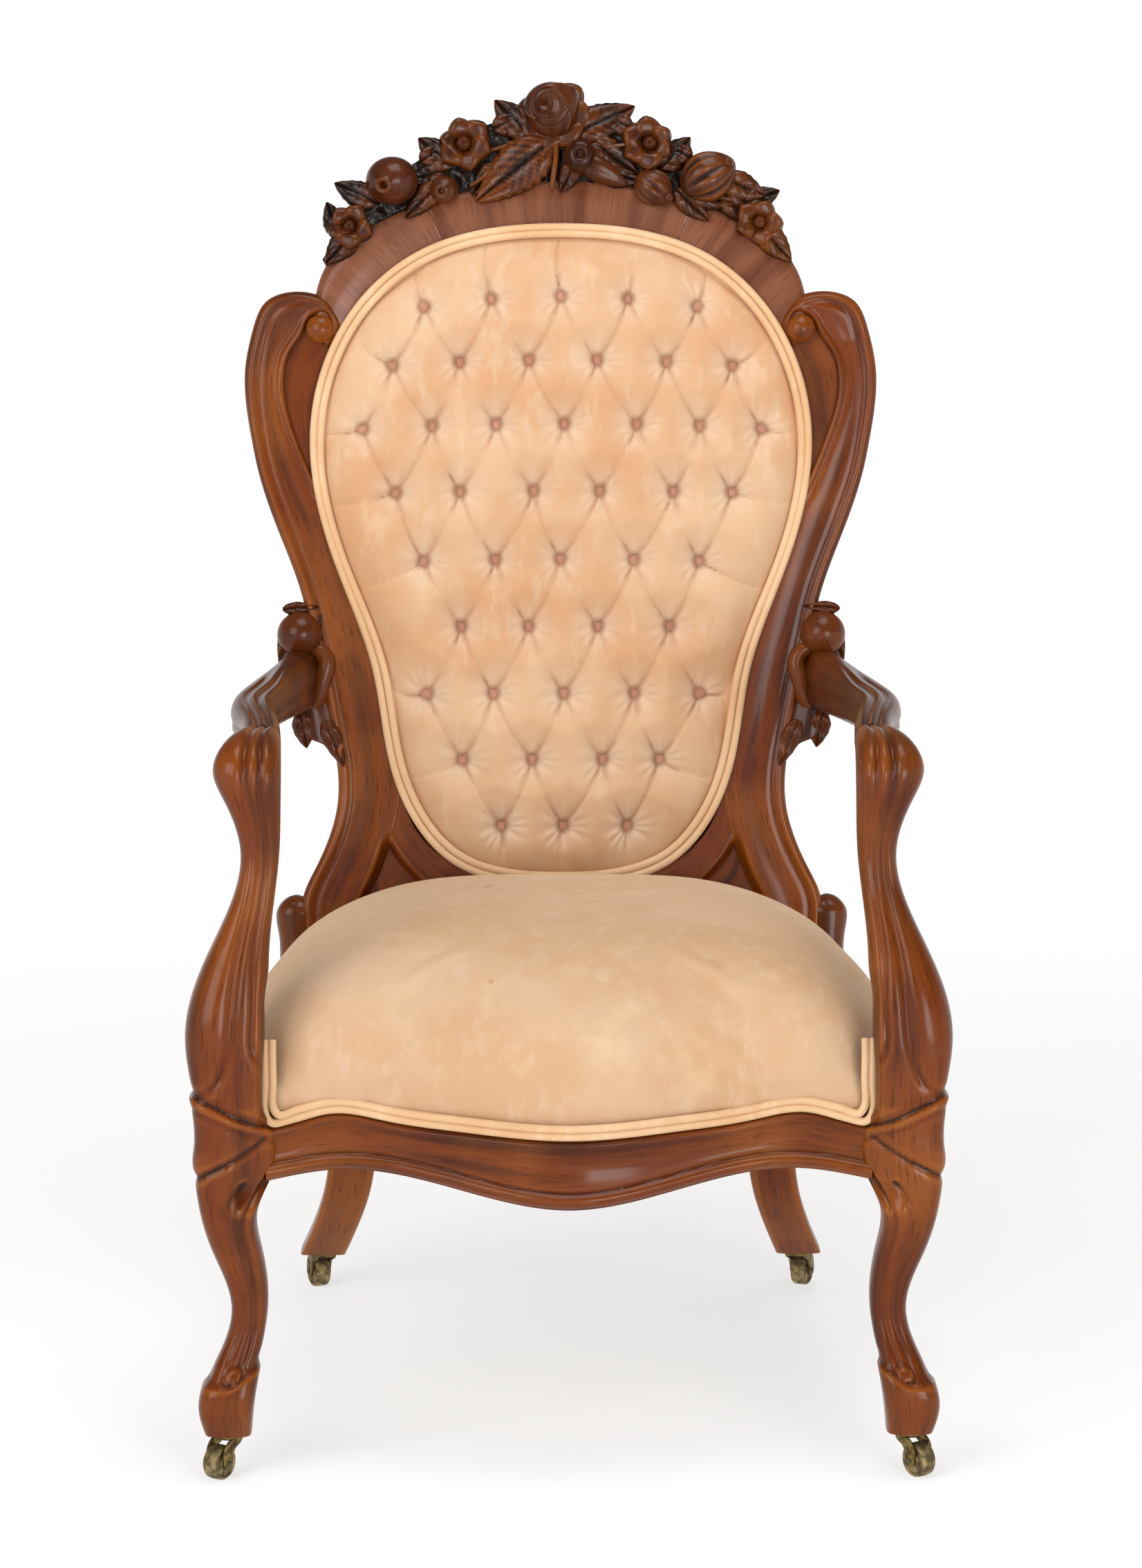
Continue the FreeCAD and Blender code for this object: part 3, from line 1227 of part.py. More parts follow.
hessian_top = size("spring_top") + size("hessian_thick")
seat_form = seat_crown().cut(seat_cavity(size("rail_top") - 1, hessian_top))
node(solid("seat_pad_solid", seat_form), "seat_pad")
node(solid("seat_hessian_sheet", seat_cavity(size("spring_top"), hessian_top)), "seat_hessian")


def seat_welt():
    # Flat double cord on the rail's top edge before the stuffing, turned up beside each arm post.
    clear = size("seat_clear")
    post_inner = size("seat_half_width") + size("neck_out") - size("neck_width") / 2 - 2 * clear
    outer = [Vector(x, y, size("rail_top")) for x, y in serpentine(0.3 * clear, post_inner)]
    inner = [Vector(x, y, size("rail_top")) for x, y in serpentine(size("seat_welt_deep"), post_inner)]
    face_curve = Part.BSplineCurve()
    face_curve.interpolate(outer)
    rear_curve = Part.BSplineCurve()
    rear_curve.interpolate(inner)
    ends = [Part.LineSegment(outer[-1], inner[-1]).toShape(), Part.LineSegment(outer[0], inner[0]).toShape()]
    wire = Part.Wire(Part.__sortEdges__([face_curve.toShape(), rear_curve.toShape()] + ends))
    band = Part.Face(wire).extrude(Vector(0, 0, size("seat_welt_height")))
    rise = size("seat_welt_rise")
    width = size("seat_welt_height")
    for sign in (-1, 1):
        corner_y = serpentine(size("seat_welt_deep"), post_inner)[-1][1]
        deep = 0.8 * size("seat_welt_deep")
        riser = Part.makeBox(0.5 * width, deep, rise)
        start = sign * post_inner - (0.5 * width if sign > 0 else 0)
        riser.translate(Vector(start, corner_y - deep, size("rail_top") + 0.5 * width))
        band = band.fuse(riser)
    return band.removeSplitter()


node(solid("seat_welt_cord", seat_welt()), "seat_welt")

# webbing under the rails and springs on it

web_spots = [(k - 1.0) * size("web_pitch") for k in range(3)]
spring_middle_y = 0.5 * (size("leg_back_y") + size("rear_rail_y"))


def strap_across(y):
    half = side_inner_x(y) + size("web_tuck") * 0.8
    box = Part.makeBox(2 * half, size("web_width"), size("web_thick"))
    box.translate(Vector(-half, y - size("web_width") / 2, size("rail_bottom") - size("web_thick")))
    return box


def strap_along(x):
    # Runs from a turned-up end on the front rail's inner face to the underside of the rear rail.
    start = size("leg_back_y")
    length = size("rear_rail_y") + size("web_tuck") - start
    thick = size("web_thick")
    level = size("rail_bottom") - 2 * thick
    run = Part.makeBox(size("web_width"), length, thick)
    run.translate(Vector(x - size("web_width") / 2, start, level))
    turned = Part.makeBox(size("web_width"), thick, size("web_tuck"))
    turned.translate(Vector(x - size("web_width") / 2, start, level))
    return run.fuse(turned).removeSplitter()


across_straps = [strap_across(spring_middle_y + spot) for spot in web_spots]
along_straps = [strap_along(spot) for spot in web_spots]
node(solid("webbing_straps", Part.makeCompound(across_straps + along_straps)), "seat_webbing")


def spring(x, y):
    # Hourglass coil on arcs of a quarter turn.
    base = size("rail_bottom")
    wire = size("spring_wire")
    turns = int(size("spring_turns"))
    low = base + wire
    high = size("spring_top") - wire
    wide = size("spring_radius")
    waist = size("spring_waist")

    def at(share):
        angle = 2 * math.pi * turns * share
        radius = waist + (wide - waist) * (2 * share - 1) ** 2
        return Vector(x + radius * math.cos(angle), y + radius * math.sin(angle), low + share * (high - low))

    quarters = 4 * turns
    arcs = []
    for k in range(quarters):
        points = (at(k / quarters), at((k + 0.5) / quarters), at((k + 1) / quarters))
        arcs.append(Part.Arc(*points).toShape())
    path = Part.Wire(arcs)
    start_way = arcs[0].tangentAt(arcs[0].FirstParameter)
    profile = Part.Wire([Part.Circle(at(0), start_way, wire).toShape()])
    return path.makePipeShell([profile], True, False)


first_spring = spring(0, 0)
spring_shapes = []
for along in web_spots:
    for across in web_spots:
        copy = first_spring.copy()
        copy.translate(Vector(across, spring_middle_y + along, 0))
        spring_shapes.append(copy)
node(solid("spring_solids", Part.makeCompound(spring_shapes)), "seat_springs")

# checks, then one file for each piece

doc.recompute()
for item in doc.Objects:
    state = [word for word in item.State if word in ("Invalid", "Error")]
    if state:
        raise RuntimeError(f"{item.Name} failed: {state}")
os.makedirs("parts", exist_ok=True)
for item in nodes:
    shape = item.Shape
    if shape.isNull() or not shape.isValid() or not shape.Solids:
        raise RuntimeError(f"{item.Label} has no valid solid")
for item in nodes:
    item.Shape.exportStep(f"parts/{item.Label}.step")
    box = item.Shape.BoundBox
    print(f"{item.Label}: {len(item.Shape.Solids)} solids, {item.Shape.Volume / 1000:.1f} cm3,",
          f"x {box.XMin:.1f} {box.XMax:.1f}, y {box.YMin:.1f} {box.YMax:.1f}, "
          f"z {box.ZMin:.1f} {box.ZMax:.1f}")
print(f"{len(nodes)} nodes, {len(buttons)} buttons")
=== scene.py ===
import math

import bpy
import numpy as np
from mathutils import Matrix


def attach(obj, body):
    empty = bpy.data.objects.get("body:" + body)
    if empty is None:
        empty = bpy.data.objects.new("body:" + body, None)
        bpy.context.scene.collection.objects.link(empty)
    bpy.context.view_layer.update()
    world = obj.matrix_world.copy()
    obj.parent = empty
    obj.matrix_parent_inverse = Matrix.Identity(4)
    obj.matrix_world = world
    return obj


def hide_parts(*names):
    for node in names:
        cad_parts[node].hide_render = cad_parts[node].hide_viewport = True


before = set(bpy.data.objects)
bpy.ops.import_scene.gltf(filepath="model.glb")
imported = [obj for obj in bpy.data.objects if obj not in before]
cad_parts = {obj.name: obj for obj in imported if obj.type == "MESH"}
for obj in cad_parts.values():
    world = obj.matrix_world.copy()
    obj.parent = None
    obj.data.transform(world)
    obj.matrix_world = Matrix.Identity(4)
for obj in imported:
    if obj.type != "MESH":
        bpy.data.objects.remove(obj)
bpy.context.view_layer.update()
scene = bpy.context.scene
mm = 0.001  # tables and formulas are in millimetres, meshes are written in metres
chance = np.random.default_rng(7)
sides = (("left", -1), ("right", 1))

# shaping helpers


def smoothStep(at, low, high):
    # 0 before low, 1 after high, and 3t^2 - 2t^3 between; low may be the larger one.
    share = np.clip((np.asarray(at, float) - low) / (high - low), 0, 1)
    return share * share * (3 - 2 * share)


def bell(at, middle, half):
    # Bell curve exp(-t^2), with t the distance from the middle in half widths.
    return np.exp(-(((at - middle) / half) ** 2))


def cubicThrough(knots, values, at):
    # Free-ended cubic through the values at the knots, read at any number of places.
    knots = np.asarray(knots, float)
    values = np.asarray(values, float).reshape(len(knots), -1)
    at = np.asarray(at, float)
    count = len(knots)
    gap = np.diff(knots)
    inner = np.arange(1, count - 1)
    system = np.eye(count)
    system[inner, inner - 1] = gap[:-1]
    system[inner, inner] = 2 * (gap[:-1] + gap[1:])
    system[inner, inner + 1] = gap[1:]
    slope = np.diff(values, axis=0) / gap[:, None]
    right = np.zeros_like(values)
    right[1:-1] = 6 * np.diff(slope, axis=0)
    bend = np.linalg.solve(system, right)
    k = np.clip(np.searchsorted(knots, at, side="right") - 1, 0, count - 2)
    low = ((knots[k + 1] - at) / gap[k])[..., None]
    high = 1 - low
    lift = (low**3 - low) * bend[k] + (high**3 - high) * bend[k + 1]
    return low * values[k] + high * values[k + 1] + lift * gap[k][..., None] ** 2 / 6


def lineThrough(knots, values, at):
    # One value by the same cubic, held at its ends.
    return cubicThrough(knots, values, np.clip(at, knots[0], knots[-1]))[..., 0]


def curveThrough(points, count, closed=False):
    # Points evenly spaced along the smooth curve through the given ones, in any number of dimensions.
    points = np.asarray(points, float)
    whole = np.concatenate([points, points, points, points[:1]]) if closed else points
    steps = np.linalg.norm(np.diff(whole, axis=0), axis=1)
    knots = np.concatenate([[0], np.cumsum(steps)])
    start = knots[len(points)] if closed else 0
    end = knots[2 * len(points)] if closed else knots[-1]
    fine = cubicThrough(knots, whole, np.linspace(start, end, 24 * count))
    gone = np.concatenate([[0], np.cumsum(np.linalg.norm(np.diff(fine, axis=0), axis=1))])
    even = np.linspace(0, gone[-1], count + 1)[:-1] if closed else np.linspace(0, gone[-1], count)
    return np.stack([np.interp(even, gone, fine[:, k]) for k in range(fine.shape[1])], 1)


def surface(points, ring=False, reach=2):
    # Rows of closed loops become one closed skin: the rows join in a ring, or the end loops get a fan.
    # Each vertex keeps how hollow the skin is there: its neighbours' middle above it, in millimetres.
    rows, columns = points.shape[:2]
    index = np.arange(rows * columns).reshape(rows, columns)
    after = np.roll(index, -1, 1)
    low, high = (index, np.roll(index, -1, 0)) if ring else (index[:-1], index[1:])
    lowAfter, highAfter = (after, np.roll(after, -1, 0)) if ring else (after[:-1], after[1:])
    quads = np.stack([low, lowAfter, highAfter, high], -1).reshape(-1, 4)
    around = np.linalg.norm(np.roll(points, -1, 1) - points, axis=2).mean(0)
    along = np.linalg.norm(np.roll(points, -1, 0) - points, axis=2).mean(1)
    u = np.concatenate([[0], np.cumsum(around)]) * mm
    v = np.concatenate([[0], np.cumsum(along)]) * mm
    spanRows = len(low)
    uCorner = np.stack([u[:-1], u[1:], u[1:], u[:-1]], -1)[None].repeat(spanRows, 0)
    vCorner = np.stack([v[:-1], v[:-1], v[1:], v[1:]], -1)[:spanRows, None].repeat(columns, 1)
    uv = np.stack([uCorner, vCorner], -1).reshape(-1, 2)
    flat = points.reshape(-1, 3)
    fans = np.zeros((0, 3), int)
    fanUv = np.zeros((0, 2))
    if not ring:
        base = rows * columns
        flat = np.concatenate([flat, points[:1].mean(1), points[-1:].mean(1)])
        first = np.stack([np.full(columns, base), after[0], index[0]], -1)
        last = np.stack([np.full(columns, base + 1), index[-1], after[-1]], -1)
        fans = np.concatenate([first, last])
        fanUv = np.stack([np.tile(u[:-1], 2), np.repeat([v[0], v[rows - 1]], columns)], -1).repeat(3, 0)
    turned = np.arange(rows)
    ahead = (turned + reach) % rows if ring else np.minimum(turned + reach, rows - 1)
    behind = (turned - reach) % rows if ring else np.maximum(turned - reach, 0)
    acrossStep = np.roll(points, -reach, 1) - np.roll(points, reach, 1)
    normal = np.cross(acrossStep, points[ahead] - points[behind])
    normal /= np.maximum(np.linalg.norm(normal, axis=2, keepdims=True), 1e-9)
    middle = np.roll(points, -reach, 1) + np.roll(points, reach, 1) + points[ahead] + points[behind]
    hollow = ((middle / 4 - points) * normal).sum(2).ravel()
    hollow = np.concatenate([hollow, np.zeros(len(flat) - len(hollow))])
    triangles = np.concatenate([quads[:, :3], quads[:, [0, 2, 3]], fans])
    corner = flat[triangles]
    volume = (corner[:, 0] * np.cross(corner[:, 1], corner[:, 2])).sum()
    if volume < 0:
        quads = quads[:, ::-1]
        uv = uv.reshape(-1, 4, 2)[:, ::-1].reshape(-1, 2)
        fans = fans[:, ::-1]
        hollow = -hollow
    return {"points": flat, "quads": quads, "uv": uv, "fans": fans, "fanUv": fanUv, "hollow": hollow}


def makePiece(name, parts, material, body="frame", replaces=(), sharp=35, swapGrain=False, extra=None):
    # Joins surfaces to one object with smooth shading, a grain map in metres and the hollow attribute.
    starts = np.concatenate([[0], np.cumsum([len(part["points"]) for part in parts])])
    quads = np.concatenate([part["quads"] + start for part, start in zip(parts, starts)])
    fans = np.concatenate([part["fans"] + start for part, start in zip(parts, starts)])
    shifts = chance.uniform(0, 3, (len(parts), 2))
    uv = np.concatenate([part["uv"] + shift for part, shift in zip(parts, shifts)])
    fanUv = np.concatenate([part["fanUv"] + shift for part, shift in zip(parts, shifts)])
    points = np.concatenate([part["points"] for part in parts])
    mesh = bpy.data.meshes.new(name)
    mesh.from_pydata((points * mm).tolist(), [], quads.tolist() + fans.tolist())
    corners = np.concatenate([uv, fanUv])
    layer = mesh.uv_layers.new(name="grain")
    layer.data.foreach_set("uv", (corners[:, ::-1] if swapGrain else corners).astype(np.float32).ravel())
    values = {"hollow": np.concatenate([part["hollow"] for part in parts])}
    values.update(extra or {})
    for key, value in values.items():
        attribute = mesh.attributes.new(key, "FLOAT", "POINT")
        attribute.data.foreach_set("value", np.asarray(value, np.float32))
    mesh.polygons.foreach_set("use_smooth", np.ones(len(mesh.polygons), bool))
    mesh.set_sharp_from_angle(angle=math.radians(sharp))
    mesh.materials.append(material)
    piece = bpy.data.objects.new(name, mesh)
    scene.collection.objects.link(piece)
    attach(piece, body)
    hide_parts(*replaces)
    return piece


def mirrored(points, sign):
    # The same points, on the other side of the chair where sign is -1.
    return points * np.array([sign, 1, 1])


def tube(path, radius, count=14, ring=False, up=(0.0, 0.0, 1.0)):
    # Round cord along a path, whose cross-section is turned from one fixed direction.
    path = np.asarray(path, float)
    if ring:
        way = np.roll(path, -1, 0) - np.roll(path, 1, 0)
    else:
        way = np.gradient(path, axis=0)
    way /= np.linalg.norm(way, axis=1, keepdims=True)
    one = np.cross(way, np.asarray(up, float))
    one /= np.linalg.norm(one, axis=1, keepdims=True)
    two = np.cross(one, way)
    angle = np.linspace(0, 2 * np.pi, count, endpoint=False)
    radius = np.broadcast_to(np.asarray(radius, float), (len(path),))[:, None, None]
    loop = one[:, None] * np.cos(angle)[None, :, None] + two[:, None] * np.sin(angle)[None, :, None]
    return path[:, None] + loop * radius


def roundedLoop(angle, squareness):
    # Superellipse read by direction: square-sided with round corners as squareness grows.
    high = np.abs(np.sin(angle)) ** squareness + np.abs(np.cos(angle)) ** squareness
    size = high ** (-1 / squareness)
    return np.sin(angle) * size, np.cos(angle) * size


def noiseField(x, y, seed, wave):
    # Smooth random field: a sum of turned waves of about the given length.
    source = np.random.default_rng(seed)
    total = np.zeros_like(np.asarray(x, float))
    for _ in range(7):
        heading = source.uniform(0, 2 * np.pi)
        length = wave * source.uniform(0.6, 1.7)
        phase = source.uniform(0, 2 * np.pi)
        total += np.sin((x * np.cos(heading) + y * np.sin(heading)) * 2 * np.pi / length + phase)
    return total / 7


# the leaning plane of the back: x across, s up the plane, h before the wood's face

backShape = {
    "lean": 10.5, "foot": (178, 430),  # degrees, and y and z where s and h are 0
    "middle": 276.5, "tall": 301.5, "wide": 228, "waist": 160,  # oval: height of its middle, three halves
    "oval": ((0.60, 0, 0.904), (0.841, 0, 0.735), (1, 0, 0.383), (0.905, 0, -0.018), (0, 1.075, -0.35),
             (0, 0.95, -0.685), (0, 0.62, -0.934)),  # shares of the widest half, the waist, the half height
}
lean = math.radians(backShape["lean"])


def onBack(x, s, h):
    # Point of the leaning plane to the frame: s runs up along it, h stands out of it towards the sitter.
    x, s, h = np.broadcast_arrays(np.asarray(x, float), s, h)
    footY, footZ = backShape["foot"]
    y = footY + s * math.sin(lean) - h * math.cos(lean)
    return np.stack([x, y, footZ + s * math.cos(lean) + h * math.sin(lean)], -1)


def ovalRing(setin, count):
    # Waisted oval from its top round by the viewer's right, drawn in by setin.
    middle = backShape["middle"]
    tall, wide, waist = (backShape[key] - setin for key in ("tall", "wide", "waist"))
    right = [(a * wide + b * waist, middle + c * tall) for a, b, c in backShape["oval"]]
    left = [(-x, s) for x, s in reversed(right)]
    return curveThrough([(0, middle + tall)] + right + [(0, middle - tall)] + left, count, closed=True)


def ovalHalf(s, setin):
    # Half width of the oval at a height.
    ring = ovalRing(setin, 720)[:361]
    order = np.argsort(ring[:, 1])
    return np.interp(s, ring[order, 1], ring[order, 0])


# materials

smooth = {"interpolation_type": "SMOOTHSTEP"}


def hexColour(text):
    # sRGB hex to the linear colour that a shader wants.
    value = np.array([int(text[k:k + 2], 16) for k in (1, 3, 5)]) / 255
    linear = np.where(value <= 0.04045, value / 12.92, ((value + 0.055) / 1.055) ** 2.4)
    return (*[float(part) for part in linear], 1.0)


def addNode(tree, kind, out, inputs, **settings):
    # Adds a node, sets or links its inputs, and gives back the output that is asked for.
    made = tree.nodes.new("ShaderNode" + kind)
    for key, value in settings.items():
        setattr(made, key, value)
    for key, value in inputs.items():
        if isinstance(value, bpy.types.NodeSocket):
            tree.links.new(value, made.inputs[key])
        else:
            made.inputs[key].default_value = value
    return None if out is None else made.outputs[out]


def perMetre(size):
    # Texture scale for features of a size in millimetres.
    return 1000 / size


def ranged(value, low, high, first, last):
    # Inputs for a change from the first value to the last while the value passes from low to high.
    return {"Value": value, "From Min": low, "From Max": high, "To Min": first, "To Max": last}


def startMaterial(name):
    # Empty material and its node tree.
    material = bpy.data.materials.new(name)
    material.use_nodes = True
    material.node_tree.nodes.clear()
    return material, material.node_tree


def finishMaterial(tree, inputs):
    # Shader with the given inputs, joined to the output.
    shader = addNode(tree, "BsdfPrincipled", "BSDF", inputs)
    addNode(tree, "OutputMaterial", None, {"Surface": shader})


def paintOver(tree, tone, mask, low, high, most, colour):
    # Lays a colour over the tone where the mask passes from low to high, covering at most the given share.
    cover = addNode(tree, "MapRange", "Result", ranged(mask, low, high, 0.0, most), **smooth)
    return addNode(tree, "Mix", 2, {0: cover, 6: tone, 7: hexColour(colour)}, data_type="RGBA")


def walnutMaterial(name, coords, dark, middle, light, shadeAndDust, shadeAndDustShare, rough, deepBelow=None):
    # Walnut under old shellac: broad figure and fine pores drawn out along the grain, the colour deeper
    # where the carving is hollow by painted shade with some dust, and paler on its edges by a painted
    # highlight, so that the eye reads the relief; on the crest painted shade also darkens it towards the
    # ground, below the given height before the frame's face.
    material, tree = startMaterial(name)
    place = addNode(tree, "TexCoord", coords, {})
    stretch = (1.0, 0.06, 1.0) if coords == "UV" else (1.0, 1.0, 0.07)
    grain = addNode(tree, "Mapping", "Vector", {"Vector": place, "Scale": stretch})
    figure = addNode(tree, "TexNoise", "Fac", {
        "Vector": grain, "Scale": perMetre(22), "Detail": 4.0, "Roughness": 0.6})
    pores = addNode(tree, "TexNoise", "Fac", {  # drawn coarser than walnut's pores, so that they show
        "Vector": grain, "Scale": perMetre(1.6), "Detail": 2.0, "Roughness": 0.6})
    cloud = addNode(tree, "TexNoise", "Fac", {"Vector": place, "Scale": perMetre(140), "Detail": 2.0})
    hollow = addNode(tree, "Attribute", "Fac", {}, attribute_name="hollow")
    tone = paintOver(tree, hexColour(dark), figure, 0.33, 0.6, 1.0, middle)
    tone = paintOver(tree, tone, cloud, 0.42, 0.72, 0.45, light)
    tone = paintOver(tree, tone, pores, 0.54, 0.68, 0.6, dark)
    # Painted highlight: paler where the surface is convex, along edges and ridges.
    tone = paintOver(tree, tone, hollow, -0.04, -0.7, 0.5, light)
    # Painted shade, with some dust: darker where the carving is hollow.
    tone = paintOver(tree, tone, hollow, 0.05, 1.1, shadeAndDustShare, shadeAndDust)
    # Painted shade on the crest: darker towards the ground between the motifs, by height before the frame's
    # face.
    if deepBelow is not None:
        facing = (0.0, -math.cos(lean), math.sin(lean))
        face = float(np.dot(facing, onBack(0, 0, 0) * mm))
        height = addNode(tree, "VectorMath", "Value", {0: place, 1: facing}, operation="DOT_PRODUCT")
        deep = addNode(tree, "MapRange", "Result", ranged(
            height, face + deepBelow * mm, face + 3 * mm, 0.0, 1.0), **smooth)
        front = addNode(tree, "MapRange", "Result", ranged(
            height, face - 12 * mm, face - 4 * mm, 0.0, 1.0), **smooth)
        ground = addNode(tree, "Math", 0, {0: deep, 1: front}, operation="MULTIPLY")
        tone = paintOver(tree, tone, ground, 0.0, 1.0, 0.92, shadeAndDust)
    shine = addNode(tree, "MapRange", "Result", ranged(hollow, 0.0, 0.5, rough, 0.7), **smooth)
    normal = addNode(tree, "Bump", "Normal", {"Height": pores, "Distance": 0.00025, "Strength": 0.35})
    finishMaterial(tree, {
        "Base Color": tone, "Roughness": shine, "Normal": normal, "Specular IOR Level": 0.08,
        "Coat Weight": 0.3, "Coat Roughness": 0.16})
    return material


walnut = walnutMaterial("walnut", "UV", "#3E1603", "#6C3009", "#9A561C", "#170803", 0.88, 0.34)
walnutDeep = walnutMaterial("walnutDeep", "UV", "#2C0F04", "#4C2008", "#7C4018", "#120703", 0.88, 0.34)
walnutVeneer = walnutMaterial("walnutVeneer", "UV", "#5A2C16", "#7A4830", "#8E5C44", "#2A1008", 0.7, 0.38)
walnutCrest = walnutMaterial("walnutCarved", "Object", "#2A1006", "#4C220C", "#854818", "#0A0603", 0.92, 0.3,
                             15)
walnutPlain = walnutMaterial("walnutPlain", "Object", "#2C1105", "#4A210B", "#62300F", "#1A0A04", 0.6, 0.5)
birch = walnutMaterial("birch", "Object", "#B08A5C", "#C9A876", "#D8BC8E", "#8C6B45", 0.3, 0.6)


def velvetMaterial(name, deep, base, pale, pattern):
    # Cotton velvet: short pile seen as a soft sheen at grazing angles over a fine nap, brushed to paler
    # and deeper patches; the back's has a painted sheen, partly rubbed pile, pale round each button, painted
    # shadow in the button pits and painted shade along the folds, and the seat's is worn, with pale clouds
    # and small rust spots.
    material, tree = startMaterial(name)
    place = addNode(tree, "TexCoord", "Object", {})
    patch = addNode(tree, "TexNoise", "Fac", {
        "Vector": place, "Scale": perMetre(111), "Detail": 3.0, "Roughness": 0.6})
    brushed = addNode(tree, "Mapping", "Vector", {"Vector": place, "Scale": (1.0, 1.0, 0.35)})
    streak = addNode(tree, "TexNoise", "Fac", {
        "Vector": brushed, "Scale": perMetre(16.7), "Detail": 3.0, "Roughness": 0.6})
    pile = addNode(tree, "TexNoise", "Fac", {  # tufts of pile drawn about five times too coarse, to show
        "Vector": place, "Scale": perMetre(1.1), "Detail": 2.0, "Roughness": 0.7})
    tone = paintOver(tree, hexColour(deep), patch, 0.36, 0.66, 1.0, base)
    tone = paintOver(tree, tone, streak, 0.5, 0.75, 0.5, pale)
    if pattern == "tufted":
        tuft = addNode(tree, "Attribute", "Fac", {}, attribute_name="tuft")
        foldShade = addNode(tree, "Attribute", "Fac", {}, attribute_name="foldShade")
        # Painted sheen round each button, partly rubbed pile: paler near it.
        tone = paintOver(tree, tone, tuft, 0.05, 0.75, 0.5, "#DCC3AC")
        # Painted shadow: dark in the pit right round each button.
        tone = paintOver(tree, tone, tuft, 0.68, 1.0, 0.8, "#86563F")
        # Painted shade: darker along the folds.
        tone = paintOver(tree, tone, foldShade, 0.25, 1.0, 0.3, "#A06E4A")
    if pattern == "worn":
        clouds = addNode(tree, "TexNoise", "Fac", {
            "Vector": place, "Scale": perMetre(62.5), "Detail": 4.0, "Roughness": 0.65})
        tone = paintOver(tree, tone, clouds, 0.55, 0.8, 0.4, "#E6CDA8")
        cells = {"Vector": place, "Scale": perMetre(59), "Randomness": 1.0}
        away = addNode(tree, "TexVoronoi", "Distance", cells)
        drawn = addNode(tree, "SeparateColor", 0, {"Color": addNode(tree, "TexVoronoi", "Color", cells)})
        few = addNode(tree, "Math", 0, {0: drawn, 1: 0.84}, operation="GREATER_THAN")
        small = addNode(tree, "MapRange", "Result", ranged(away, 0.11, 0.05, 0.0, 1.0), **smooth)
        rust = addNode(tree, "Math", 0, {0: few, 1: small}, operation="MULTIPLY")
        tone = paintOver(tree, tone, rust, 0.0, 1.0, 0.55, "#A8622E")
    normal = addNode(tree, "Bump", "Normal", {"Height": pile, "Distance": 0.0006, "Strength": 0.35})
    normal = addNode(tree, "Bump", "Normal", {
        "Height": streak, "Distance": 0.0008, "Strength": 0.25, "Normal": normal})
    finishMaterial(tree, {
        "Base Color": tone, "Roughness": 0.92, "Normal": normal, "Specular IOR Level": 0.15,
        "Sheen Weight": 0.35, "Sheen Roughness": 0.4, "Sheen Tint": hexColour("#FFE9CC")})
    return material


velvetBack = velvetMaterial("velvetTufted", "#C99A72", "#D0AB87", "#D7B99B", "tufted")
velvetSeat = velvetMaterial("velvetWorn", "#C69F7A", "#CBAA8B", "#D2B69A", "worn")
velvetWelt = velvetMaterial("velvetWelt", "#D3A97E", "#DDB890", "#E2C5A2", "plain")
velvetButton = velvetMaterial("velvetButton", "#B07E66", "#BC8A72", "#C89A82", "plain")
velvetPlain = velvetMaterial("velvetPlain", "#CE9A66", "#D8A674", "#DFB184", "plain")


def metalMaterial(name, dark, light, metallic, rough, wear):
    # Old cast metal: tarnish clouds of some 6 mm over bare metal, duller where it is dark, on a fine grit.
    material, tree = startMaterial(name)
    place = addNode(tree, "TexCoord", "Object", {})
    cloud = addNode(tree, "TexNoise", "Fac", {
        "Vector": place, "Scale": perMetre(6.25), "Detail": 4.0, "Roughness": 0.6})
    grit = addNode(tree, "TexNoise", "Fac", {"Vector": place, "Scale": perMetre(0.7), "Detail": 2.0})
    tone = paintOver(tree, hexColour(dark), cloud, 0.36, 0.66, 1.0, light)
    shine = addNode(tree, "MapRange", "Result", ranged(cloud, 0.3, 0.7, rough + 0.15, rough), **smooth)
    normal = addNode(tree, "Bump", "Normal", {"Height": grit, "Distance": 0.0002, "Strength": wear})
    finishMaterial(tree, {"Base Color": tone, "Metallic": metallic, "Roughness": shine, "Normal": normal})
    return material


brass = metalMaterial("antiqueBrass", "#4A3C22", "#8A7444", 0.9, 0.38, 0.3)
tread = metalMaterial("antiqueBrassTread", "#5E5138", "#A08C62", 0.75, 0.5, 0.5)
steel = metalMaterial("axleSteel", "#4E4A44", "#7E7A72", 1.0, 0.4, 0.2)
springSteel = metalMaterial("springSteel", "#3E3A36", "#6C6862", 1.0, 0.45, 0.2)


def juteMaterial(name, dark, light, pitch):
    # Plain-woven jute: crossed yarns as two waves of the given pitch in millimetres, darker between them.
    material, tree = startMaterial(name)
    place = addNode(tree, "TexCoord", "Object", {})
    waves = [addNode(tree, "TexWave", "Fac", {
        "Vector": place, "Scale": 2 * math.pi / (20 * pitch * mm), "Distortion": 1.5, "Detail": 2.0},
        bands_direction=direction) for direction in "XY"]
    weave = addNode(tree, "Math", 0, {0: waves[0], 1: waves[1]}, operation="MULTIPLY")
    tone = paintOver(tree, hexColour(dark), weave, 0.0, 1.0, 1.0, light)
    normal = addNode(tree, "Bump", "Normal", {"Height": weave, "Distance": 0.0006, "Strength": 0.6})
    finishMaterial(tree, {"Base Color": tone, "Roughness": 0.95, "Normal": normal})
    return material


jute = juteMaterial("jute", "#7C6038", "#B4945E", 2.4)
print("materials ready")

# front legs with the arm posts above them

